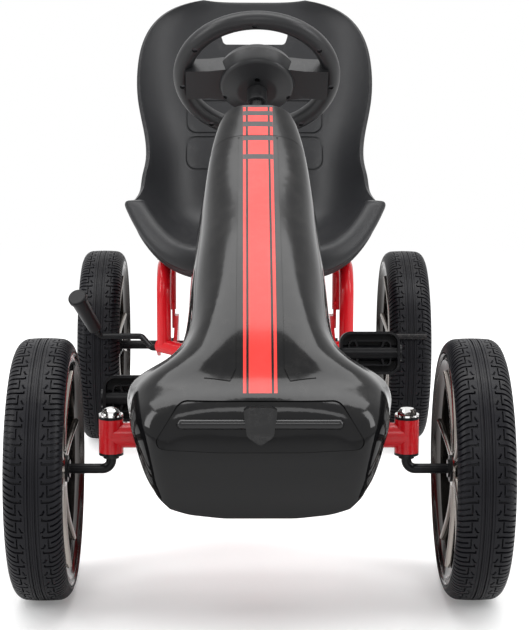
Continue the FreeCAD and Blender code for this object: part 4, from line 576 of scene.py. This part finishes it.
# ---- Meshes ----
class Draft:
    """The points and faces of one piece while it is being made."""

    def __init__(self) -> None:
        """Starts with nothing."""
        self.points: list[Vector] = []
        self.faces: list[tuple[int, ...]] = []

    def loft(self, rings: Sequence[Sequence[Vector]], closed: bool = False, turned: bool = False) -> None:
        """Adds rings of points and joins each to the next.

        Args:
            rings: the rings, with the same number of points in each.
            closed: whether the last joins the first; otherwise each end gets a cap.
            turned: whether the faces look the other way.
        """
        base, count = len(self.points), len(rings[0])
        for ring in rings:
            self.points.extend(ring)
        for index in range(len(rings) if closed else len(rings) - 1):
            start, after = base + index * count, base + (index + 1) % len(rings) * count
            for turn in range(count):
                beside = (turn + 1) % count
                face = (start + turn, start + beside, after + beside, after + turn)
                self.faces.append(face[:1] + face[:0:-1] if turned else face)
        if not closed:
            first = tuple(range(base, base + count))
            last = tuple(range(len(self.points) - count, len(self.points)))
            self.faces += (first, last[::-1]) if turned else (first[::-1], last)

    def piece(self, name: str, materials: Sequence[bpy.types.Material],
              smooth: float = 35.0) -> bpy.types.Object:
        """Makes the visible piece.

        Args:
            name: its name.
            materials: its finishes, the first on every face.
            smooth: the sharpest edge that is still shaded smooth, in degrees.

        Returns:
            The piece.
        """
        mesh = bpy.data.meshes.new(name)
        mesh.from_pydata([tuple(point) for point in self.points], [], self.faces)
        for material in materials:
            mesh.materials.append(material)
        mesh.shade_smooth()
        mesh.set_sharp_from_angle(angle=math.radians(smooth))
        made = bpy.data.objects.new(name, mesh)
        bpy.context.scene.collection.objects.link(made)
        LOG.info("built %s: %d faces", name, len(self.faces))
        return made


@dataclass(frozen=True)
class Groove:
    """One cut across a shoulder: its place in the pitch, as a share, and where it starts."""

    share: float
    start: float


@dataclass(frozen=True)
class Leg:
    """A short cut along the tread: its place across it and the shares of the pitch that it joins."""

    across: float
    first: float
    last: float


@dataclass(frozen=True)
class Rib:
    """A groove round the tread: its distance from the middle, half its width and its depth."""

    across: float
    half: float
    depth: float


@dataclass(frozen=True)
class Slash:
    """A slanting cut: its stations in the pitch, its distances at both ends, half its width and its depth."""

    stations: tuple[float, ...] = (0.50, 0.57, 0.64, 0.72)
    outer: float = 0.0116
    inner: float = 0.0094
    half: float = 0.0007
    depth_share: float = 0.7


@dataclass(frozen=True)
class TreadedTyre:
    """A foam tyre with fine ribs round its middle and nested, hooked grooves over its shoulders."""

    radius: float = 0.1300
    half_width: float = 0.0279
    crown_drop: float = 0.0022
    shoulder: float = 0.0120
    shoulder_start: float = 0.58
    shoulder_rows: tuple[float, ...] = (0.0075, 0.0088, 0.0106, 0.0112, 0.0118, 0.0125, 0.0170, 0.0176,
                                        0.0200, 0.0221, 0.0239, 0.0254, 0.0266)
    pitches: int = 46
    depth: float = 0.0021
    lip: float = 0.060
    bed: float = 0.041
    cut_end: float = 0.0275
    sweep: float = 0.27
    sweep_start: float = 0.5
    grooves: tuple[Groove, ...] = (Groove(0.0, 0.0094), Groove(0.35, 0.0176), Groove(0.68, 0.0145))
    legs: tuple[Leg, ...] = (Leg(0.0148, 0.12, 0.71), Leg(0.0097, -0.12, 0.03))
    leg_lip: float = 0.0007
    leg_bed: float = 0.0003
    leg_lead: float = 0.03
    slash: Slash = Slash()
    ribs: tuple[Rib, ...] = (Rib(0.0011, 0.0002, 0.0004), Rib(0.0034, 0.0004, 0.0014),
                             Rib(0.0064, 0.0002, 0.0005))
    wall: Profile = ((0.0279, 0.1182), (0.0278, 0.1172), (0.0272, 0.1166), (0.0252, 0.1162), (0.0240, 0.1142))
    slack: float = 0.00002
    share_slack: float = 0.001
    probe: float = 0.0002
    smooth: float = 28.0

    def stations(self) -> list[float]:
        """The shares of one pitch at which the tread has a ring of points."""
        shares = set(self.slash.stations)
        for groove in self.grooves:
            for offset in (-self.lip, -self.bed, self.bed, self.lip):
                shares.add(round((groove.share + offset) % 1.0, 4))
        for leg in self.legs:
            shares.update(round(share % 1.0, 4) for share in (leg.first, leg.first - self.leg_lead))
        return sorted(shares)

    def rows(self) -> list[float]:
        """Distances from the middle at which the tread has points, on one side."""
        marks = {*self.shoulder_rows, self.cut_end}
        for rib in self.ribs:
            marks.update(rib.across + rib.half * step for step in (-2.0, -1.0, 1.0, 2.0))
        for leg in self.legs:
            for offset in (-self.leg_lip, -self.leg_bed, self.leg_bed, self.leg_lip):
                marks.add(round(leg.across + offset, 5))
        return sorted(marks)

    def surface(self, across: float) -> float:
        """The radius of the plain tread.

        Args:
            across: the distance from the middle.

        Returns:
            The radius there.
        """
        share = across / self.half_width
        bend = min(1.0, max(0.0, (share - self.shoulder_start) / (1.0 - self.shoulder_start)))
        crown = self.crown_drop * share * share
        return self.radius - crown - self.shoulder * (1.0 - math.sqrt(1.0 - bend * bend))

    def cut(self, share: float, across: float) -> float:
        """How deep the tread is cut at a place.

        Args:
            share: the share of the pitch.
            across: the distance from the middle.

        Returns:
            The depth, in metres.
        """
        for rib in self.ribs:
            if abs(across - rib.across) <= rib.half + self.slack:
                return rib.depth
        for groove in self.grooves:
            apart = abs((share - groove.share + 0.5) % 1.0 - 0.5)
            if apart <= self.bed + self.share_slack and groove.start <= across <= self.cut_end - self.slack:
                return self.depth
        for leg in self.legs:
            inside = (share - leg.first) % 1.0 <= leg.last - leg.first
            if inside and abs(across - leg.across) <= self.leg_bed + self.slack:
                return self.depth
        first, last = self.slash.stations[0], self.slash.stations[-1]
        if first <= share <= last:
            line = between(self.slash.outer, self.slash.inner, (share - first) / (last - first))
            if abs(across - line) <= self.slash.half:
                return self.depth * self.slash.depth_share
        return 0.0

    def lag(self, across: float) -> float:
        """How far the grooves have swept round at a distance from the middle, as a share of the pitch."""
        past = max(0.0, across / self.half_width - self.sweep_start) / (1.0 - self.sweep_start)
        return self.sweep * past * past

    def point(self, across: float, share: float) -> tuple[float, float, float]:
        """Where the tread's surface lies, cut included.

        Args:
            across: the distance from the middle.
            share: the share of the pitch.

        Returns:
            The distance from the middle, the radius and the lag.
        """
        depth = self.cut(share, across)
        reach = self.surface(across)
        lean = (self.surface(across - self.probe) - reach) / self.probe
        length = math.hypot(1.0, lean)
        return across - depth * lean / length, reach - depth / length, self.lag(across)

    def build(self, corner: Corner) -> None:
        """Makes one tyre in its place.

        Args:
            corner: which wheel.
        """
        middle, rows, stations = corner.middle(), self.rows(), self.stations()
        wall = [(wide, reach, self.sweep) for wide, reach in self.wall]
        profiles: dict[float, list[tuple[float, float, float]]] = {}
        for share in stations:
            half = [self.point(across, share) for across in rows] + wall
            profiles[share] = [(-wide, reach, lag) for wide, reach, lag in reversed(half)] + half
        rings = []
        for turn in range(self.pitches):
            for share in stations:
                ring = []
                for wide, reach, lag in profiles[share]:
                    angle = math.tau * (turn + share + corner.side * lag) / self.pitches
                    ring.append(middle + Vector((wide, reach * math.cos(angle), reach * math.sin(angle))))
                rings.append(ring)
        draft = Draft()
        draft.loft(rings, closed=True)
        tyre = draft.piece(f"treaded_tyre_{corner.label}", [Finish.FOAM.material()], self.smooth)
        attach(tyre, corner.body)
        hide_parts(f"tyre_{corner.label}")


@dataclass(frozen=True)
class SpokedRim:
    """A wide-flanged rim with forked spokes on both faces and a hub through its middle."""

    hub_radius: float = 0.0190
    hub_half: float = 0.0200
    hub_chamfer: float = 0.002
    bore: float = 0.0086
    forks: int = 5
    spoke_width: float = 0.0088
    spoke_waist: float = 0.22
    spoke_depth: float = 0.0065
    spoke_start: float = 0.0150
    spoke_end: float = 0.1030
    spoke_steps: int = 8
    spoke_section: Profile = ((-0.5, 0.0), (-0.5, 0.55), (-0.36, 0.86), (-0.12, 1.0), (0.12, 1.0),
                              (0.36, 0.86), (0.5, 0.55), (0.5, 0.0))
    hub_spread: float = 0.16
    rim_spread: float = 0.25
    dish: float = 0.0020
    root_back: float = 0.0130
    tip_back: float = 0.0172
    rounds: int = 120
    flange: Profile = (
        (0.0236, 0.1138), (0.0250, 0.1156), (0.0266, 0.1160), (0.0273, 0.1156), (0.0274, 0.1147),
        (0.0266, 0.1139), (0.0258, 0.1134), (0.0256, 0.1104), (0.0262, 0.1098), (0.0262, 0.1088),
        (0.0252, 0.1080), (0.0234, 0.1066), (0.0216, 0.1042), (0.0204, 0.1014), (0.0196, 0.0996))
    smooth: float = 32.0

    def turned(self, profile: Profile, middle: Vector) -> list[list[Vector]]:
        """Turns a closed profile about the axle.

        Args:
            profile: its points, as the distance along the axle and the radius.
            middle: the wheel's middle.

        Returns:
            The profile at each step of the turn.
        """
        rings = []
        for turn in range(self.rounds):
            angle = math.tau * turn / self.rounds
            rings.append([middle + Vector((along, reach * math.cos(angle), reach * math.sin(angle)))
                          for along, reach in profile])
        return rings

    def spoke(self, face: int, root: float, tip: float, middle: Vector) -> list[list[Vector]]:
        """One ridged spoke, dished between the hub and the flange.

        Args:
            face: which face of the wheel, 1 or -1.
            root: its angle at the hub.
            tip: its angle at the flange.
            middle: the wheel's middle.

        Returns:
            Its section at each step outwards.
        """
        rings = []
        for step in range(self.spoke_steps + 1):
            share = step / self.spoke_steps
            bow = math.sin(math.pi * share)
            reach = between(self.spoke_start, self.spoke_end, share)
            angle = between(root, tip, share)
            back = between(self.root_back, self.tip_back, share) - self.dish * bow
            width = self.spoke_width * (1.0 - self.spoke_waist * bow)
            radial = Vector((0.0, math.cos(angle), math.sin(angle)))
            tangent = Vector((0.0, -math.sin(angle), math.cos(angle)))
            rings.append([middle + Vector((face * (back + self.spoke_depth * depth), 0.0, 0.0))
                          + radial * reach + tangent * (width * aside)
                          for aside, depth in self.spoke_section[::face]])
        return rings

    def build(self, corner: Corner) -> None:
        """Makes one rim in its place.

        Args:
            corner: which wheel.
        """
        middle = corner.middle()
        draft = Draft()
        mirrored = tuple((-along, reach) for along, reach in reversed(self.flange))
        draft.loft(self.turned(self.flange + mirrored, middle), closed=True)
        dark_faces = len(draft.faces)
        half_hub = ((-self.hub_half, self.bore), (-self.hub_half, self.hub_radius - self.hub_chamfer),
                    (self.hub_chamfer - self.hub_half, self.hub_radius))
        hub = half_hub + tuple((-along, reach) for along, reach in reversed(half_hub))
        draft.loft(self.turned(hub, middle), closed=True)
        for face in (1, -1):
            for fork in range(self.forks):
                centre = math.tau * fork / self.forks
                for way in (1, -1):
                    root, tip = centre + way * self.hub_spread, centre + way * self.rim_spread
                    draft.loft(self.spoke(face, root, tip, middle))
        finishes = [Finish.BARREL.material(), Finish.SPOKES.material()]
        rim = draft.piece(f"spoked_rim_{corner.label}", finishes, self.smooth)
        for polygon in rim.data.polygons[dark_faces:]:
            polygon.material_index = 1
        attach(rim, corner.body)
        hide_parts(f"rim_{corner.label}")


@dataclass(frozen=True)
class SeatRoll:
    """The thick rolled lip along the front of the seat, from the tip of one wing to the other."""

    reach: float = 0.1675
    low: float = 0.2565
    rise: float = 0.0850
    front: float = 0.1015
    sweep: float = 0.0700
    curl: float = 4.0
    middle_radius: float = 0.0200
    tip_radius: float = 0.0132
    squareness: float = 2.5
    end_length: float = 0.0090
    end_roundness: float = 3.0
    end_point: float = 0.02
    top: float = 0.3470
    softness: float = 0.0016
    probe: float = 0.01
    steps: int = 84
    end_steps: int = 7
    rounds: int = 28
    smooth: float = 40.0

    def edge(self, share: float) -> Vector:
        """The lower outline of the lip at a share of the way from its middle to a tip."""
        curl = abs(share) ** self.curl
        return Vector((self.reach * share, self.front + self.sweep * curl, self.low + self.rise * curl))

    def stations(self) -> list[tuple[float, float]]:
        """Share of the way to a tip, and share of the rounded end past it, ring by ring."""
        ends = [step / self.end_steps for step in range(1, self.end_steps + 1)]
        middle = [(math.sin(math.pi * (step / self.steps - 0.5)), 0.0) for step in range(self.steps + 1)]
        return [(-1.0, past) for past in reversed(ends)] + middle + [(1.0, past) for past in ends]

    def directions(self, share: float) -> tuple[Vector, Vector, Vector]:
        """The directions along the lip, in towards the seat and back from its front.

        Args:
            share: the share of the way from the middle to a tip.

        Returns:
            The three, at right angles to each other.
        """
        near, far = self.edge(max(-1.0, share - self.probe)), self.edge(min(1.0, share + self.probe))
        along = (far - near).normalized()
        inward = Vector((-along.z, 0.0, along.x)).normalized()
        behind = inward.cross(along).normalized()
        if behind.y < 0.0:
            behind.negate()
        return along, inward, behind

    def ring(self, share: float, past: float) -> list[Vector]:
        """One round of points about the lip.

        Args:
            share: the share of the way from the middle to a tip, negative to the right wing.
            past: the share of the rounded end beyond the tip.

        Returns:
            The points in order.
        """
        along, inward, behind = self.directions(share)
        radius = between(self.middle_radius, self.tip_radius, share ** 2)
        centre = self.edge(share) + (inward + behind) * radius
        centre += along * math.copysign(self.end_length * past, share)
        radius *= max(self.end_point, 1.0 - past ** self.end_roundness) ** (1.0 / self.end_roundness)
        points = []
        for turn in range(self.rounds):
            angle = math.tau * turn / self.rounds
            share_in, share_back = (math.copysign(abs(part) ** (2.0 / self.squareness), part)
                                    for part in (math.cos(angle), math.sin(angle)))
            point = centre + (inward * share_in + behind * share_back) * radius
            point.z = self.top - self.softness * math.log1p(math.exp((self.top - point.z) / self.softness))
            points.append(point)
        return points

    def build(self) -> None:
        """Makes the lip."""
        draft = Draft()
        draft.loft([self.ring(share, past) for share, past in self.stations()], turned=True)
        lip = draft.piece("seat_front_roll", [Finish.SEAT.material()], self.smooth)
        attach(lip, "chassis")


# ---- Sub-assemblies ----
Wear = tuple[tuple[Finish, tuple[str, ...]], ...]


@dataclass(frozen=True)
class Assembly:
    """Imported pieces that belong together, by finish, and the detailed ones that are added to them."""

    wear: Wear = ()

    def node_name(self, name: str) -> str:
        """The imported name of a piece."""
        return name

    def add(self) -> None:
        """Makes the detailed pieces; most sub-assemblies have none."""

    def build(self) -> set[str]:
        """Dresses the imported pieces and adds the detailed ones.

        Returns:
            The names of the dressed pieces.
        """
        dressed = set()
        for finish, names in self.wear:
            for name in map(self.node_name, names):
                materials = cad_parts[name].data.materials
                materials.clear()
                materials.append(finish.material())
                dressed.add(name)
                LOG.info("dressed %s with %s", name, finish.value.name)
        self.add()
        return dressed


@dataclass(frozen=True)
class MainFrame(Assembly):
    """The welded tubes and plates that carry everything."""

    wear: Wear = (
        (Finish.FRAME, ("main_tube", "front_axle_beam", "column_post", "crank_bracket", "rear_frame")),)


@dataclass(frozen=True)
class FrontAxle(Assembly):
    """The kingpins with their stub axles and the two tie rods."""

    wear: Wear = (
        (Finish.BLACK_STEEL, ("kingpin_axle_left", "kingpin_axle_right", "tie_rod_left", "tie_rod_right")),
        (Finish.CHROME, ("kingpin_cap_right", "kingpin_nut_left")),
        (Finish.ZINC, ("wheel_nut_front_left", "wheel_nut_front_right")),
        (Finish.FITTING, ("kingpin_bushes",)))


@dataclass(frozen=True)
class Steering(Assembly):
    """The column and the steering wheel."""

    wear: Wear = (
        (Finish.BLACK_STEEL, ("steering_column",)), (Finish.SCREW, ("steering_wheel_screws",)),
        (Finish.STEERING, ("steering_wheel_top", "steering_wheel_back")),
        (Finish.FITTING, ("column_bushes",)))


@dataclass(frozen=True)
class Hood(Assembly):
    """The hood with its nose trim and the cap at the dash."""

    wear: Wear = ((Finish.HOOD, ("nose_fairing", "dash_cap")), (Finish.TRIM, ("nose_trim",)))


@dataclass(frozen=True)
class Seat(Assembly):
    """The bucket seat on its rails, with the rolled lip along its front."""

    wear: Wear = ((Finish.SEAT, ("seat_shell",)), (Finish.FRAME, ("seat_frame",)),
                  (Finish.ZINC, ("seat_bolts",)), (Finish.BLACK_STEEL, ("seat_straps",)))
    roll: SeatRoll = SeatRoll()

    def add(self) -> None:
        """Makes the rolled lip."""
        self.roll.build()


@dataclass(frozen=True)
class Drive(Assembly):
    """The crank with its pedals, the chain in its case and the rear axle."""

    wear: Wear = (
        (Finish.BLACK_STEEL, ("crankshaft", "rear_axle")),
        (Finish.ZINC, ("drive_chain", "front_sprocket", "rear_sprocket", "wheel_nuts_rear")),
        (Finish.FITTING, ("pedal_left", "pedal_right", "pedal_end_caps", "chain_case_inner",
                          "chain_case_outer", "crank_bushes", "rear_axle_bushes")))


@dataclass(frozen=True)
class Handbrake(Assembly):
    """The brake bar and its grip."""

    wear: Wear = ((Finish.BLACK_STEEL, ("brake_bar",)), (Finish.FITTING, ("brake_grip",)))


@dataclass(frozen=True)
class Wheel(Assembly):
    """One wheel, with the treaded tyre and the spoked rim in the places of the plain ones."""

    wear: Wear = ((Finish.FOAM, ("tyre",)), (Finish.BARREL, ("rim",)), (Finish.FITTING, ("wheel_bushes",)))
    corner: Corner = Corner.FRONT_LEFT
    tyre: TreadedTyre = TreadedTyre()
    rim: SpokedRim = SpokedRim()

    def node_name(self, name: str) -> str:
        """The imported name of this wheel's piece."""
        return f"{name}_{self.corner.label}"

    def add(self) -> None:
        """Makes the tyre and the rim."""
        self.tyre.build(self.corner)
        self.rim.build(self.corner)


@dataclass(frozen=True)
class Kart:
    """The whole kart, sub-assembly by sub-assembly."""

    parts: tuple[Assembly, ...] = (MainFrame(), FrontAxle(), Steering(), Hood(), Seat(), Drive(), Handbrake(),
                                   *(Wheel(corner=corner) for corner in Corner))

    def build(self) -> None:
        """Builds every sub-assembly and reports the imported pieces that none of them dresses."""
        bare = set(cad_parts).difference(*[part.build() for part in self.parts])
        for name in sorted(bare):
            LOG.warning("no finish for %s", name)


# ---- Studio ----
@dataclass(frozen=True)
class Lamp:
    """One soft rectangular lamp: its place, its width and height, and its power in watts."""

    name: str
    place: Place
    size: Range
    power: float

    def hang(self, aim: Vector) -> None:
        """Hangs the lamp.

        Args:
            aim: the point that it faces.
        """
        data = bpy.data.lights.new(self.name, "AREA")
        data.shape = "RECTANGLE"
        data.size, data.size_y = self.size
        data.energy = self.power
        lamp = bpy.data.objects.new(self.name, data)
        lamp.location = self.place
        lamp.rotation_euler = (aim - Vector(self.place)).to_track_quat("-Z", "Y").to_euler()
        bpy.context.scene.collection.objects.link(lamp)


@dataclass(frozen=True)
class Studio:
    """Camera, pale floor and soft lights."""

    eye: Place = (-0.018, -2.0786, 0.5651)
    pitch: float = 0.1606
    yaw: float = -0.0139
    roll: float = 0.0032
    lens: float = 101.718
    sensor: float = 36.0
    view_depth: float = 100.0
    floor_half: float = 9.0
    floor_back: float = 2.0
    floor_dark: Colour = (0.80, 0.80, 0.80)
    floor_pale: Colour = (0.86, 0.86, 0.86)
    floor_roughness: float = 0.55
    floor_specular: float = 0.3
    fade_distance: Range = (0.6, 2.6)
    # painted floor light: where along the floor the camera-only glow grows, and its strength at both ends
    painted_glow_along: Range = (-0.42, 0.02)
    painted_glow_strength: Range = (0.17, 0.46)
    world_light: float = 0.55
    aim: Place = (0.0, 0.0, 0.2)
    lamps: tuple[Lamp, ...] = (Lamp("overhead_box", (0.0, 0.0, 2.8), (5.2, 1.3), 98.0),
                               Lamp("left_box", (2.3, -0.9, 1.3), (0.7, 1.7), 26.0),
                               Lamp("right_box", (-2.3, -0.9, 1.3), (0.7, 1.7), 26.0),
                               Lamp("front_box", (0.0, -3.4, 2.2), (2.0, 0.9), 22.0))

    def camera(self) -> None:
        """Sets up the camera."""
        data = bpy.data.cameras.new("studio_camera")
        data.lens, data.sensor_width, data.clip_end = self.lens, self.sensor, self.view_depth
        camera = bpy.data.objects.new("studio_camera", data)
        right = Vector((math.cos(self.yaw), math.sin(self.yaw), 0.0))
        flat = Vector((-math.sin(self.yaw), math.cos(self.yaw), 0.0))
        ahead = flat * math.cos(self.pitch) - Vector((0, 0, math.sin(self.pitch)))
        up = flat * math.sin(self.pitch) + Vector((0, 0, math.cos(self.pitch)))
        right_rolled = right * math.cos(self.roll) + up * math.sin(self.roll)
        up_rolled = up * math.cos(self.roll) - right * math.sin(self.roll)
        turn = Matrix((right_rolled, up_rolled, -ahead)).transposed().to_4x4()
        camera.matrix_world = Matrix.Translation(self.eye) @ turn
        bpy.context.scene.collection.objects.link(camera)
        bpy.context.scene.camera = camera

    def floor_material(self) -> bpy.types.Material:
        """The pale floor, which brightens into the background away from the kart, with painted light on it: a
        glow seen only by the camera, weaker in front of the kart and stronger from its middle back.
        """
        material, graph, shader = open_material("studio_floor")
        place = graph.place()
        cloud = graph.span(graph.noise(place, 1.7, detail=6.0, roughness=0.6), low=0.35, high=0.7)
        graph.fill(shader, {"Base Color": graph.mix(cloud, self.floor_dark, self.floor_pale),
                            "Roughness": self.floor_roughness, "Specular IOR Level": self.floor_specular})
        distance = graph.node("ShaderNodeVectorMath", operation="LENGTH")
        graph.feed(distance.inputs[0], place)
        fade = graph.span(distance.outputs["Value"], *self.fade_distance)
        # painted light: a glow seen only by the camera, weaker towards the front of the floor and stronger
        # towards its back
        painted_floor_glow = graph.span(graph.axes(place)[1], *self.painted_glow_along, *self.painted_glow_strength)
        seen = graph.node("ShaderNodeLightPath").outputs["Is Camera Ray"]
        lit = graph.node("ShaderNodeAddShader")
        graph.feed(lit.inputs[0], shader.outputs[0])
        graph.feed(lit.inputs[1], graph.glow(graph.math("MULTIPLY", seen, painted_floor_glow)))
        blend = graph.node("ShaderNodeMixShader")
        parts = graph.math("MULTIPLY", seen, fade), lit.outputs[0], graph.glow(1.0)
        for socket, value in zip(blend.inputs, parts):
            graph.feed(socket, value)
        graph.feed(material.node_tree.nodes["Material Output"].inputs["Surface"], blend.outputs[0])
        return material

    def floor(self) -> None:
        """Lays the floor."""
        half, draft = self.floor_half, Draft()
        draft.points = [Vector((x, y + self.floor_back, 0.0))
                        for x, y in ((-half, -half), (half, -half), (half, half), (-half, half))]
        draft.faces = [(0, 1, 2, 3)]
        floor = draft.piece("studio_floor", [self.floor_material()])

    def surround(self) -> None:
        """A white surround to the eye and in reflections, and a weaker one as light."""
        world = bpy.data.worlds.new("studio")
        world.use_nodes = True
        bpy.context.scene.world = world
        graph = Graph(world.node_tree)
        backdrop = world.node_tree.nodes["Background"]
        path = graph.node("ShaderNodeLightPath")
        shown = graph.math("MAXIMUM", path.outputs["Is Camera Ray"], path.outputs["Is Glossy Ray"])
        shown = graph.math("MAXIMUM", shown, path.outputs["Is Transmission Ray"])
        light = graph.span(shown, low=0.0, high=1.0, start=self.world_light)
        graph.fill(backdrop, {"Color": WHITE, "Strength": light})

    def build(self) -> None:
        """Sets the whole studio."""
        self.camera()
        self.floor()
        for lamp in self.lamps:
            lamp.hang(Vector(self.aim))
        self.surround()
        LOG.info("studio set")


def main() -> None:
    """Builds the kart and its studio."""
    logging.basicConfig(level=logging.INFO, format="%(name)s: %(message)s")
    bpy.context.scene.view_settings.view_transform = "Standard"
    Kart().build()
    Studio().build()


if __name__ == "__main__":
    main()
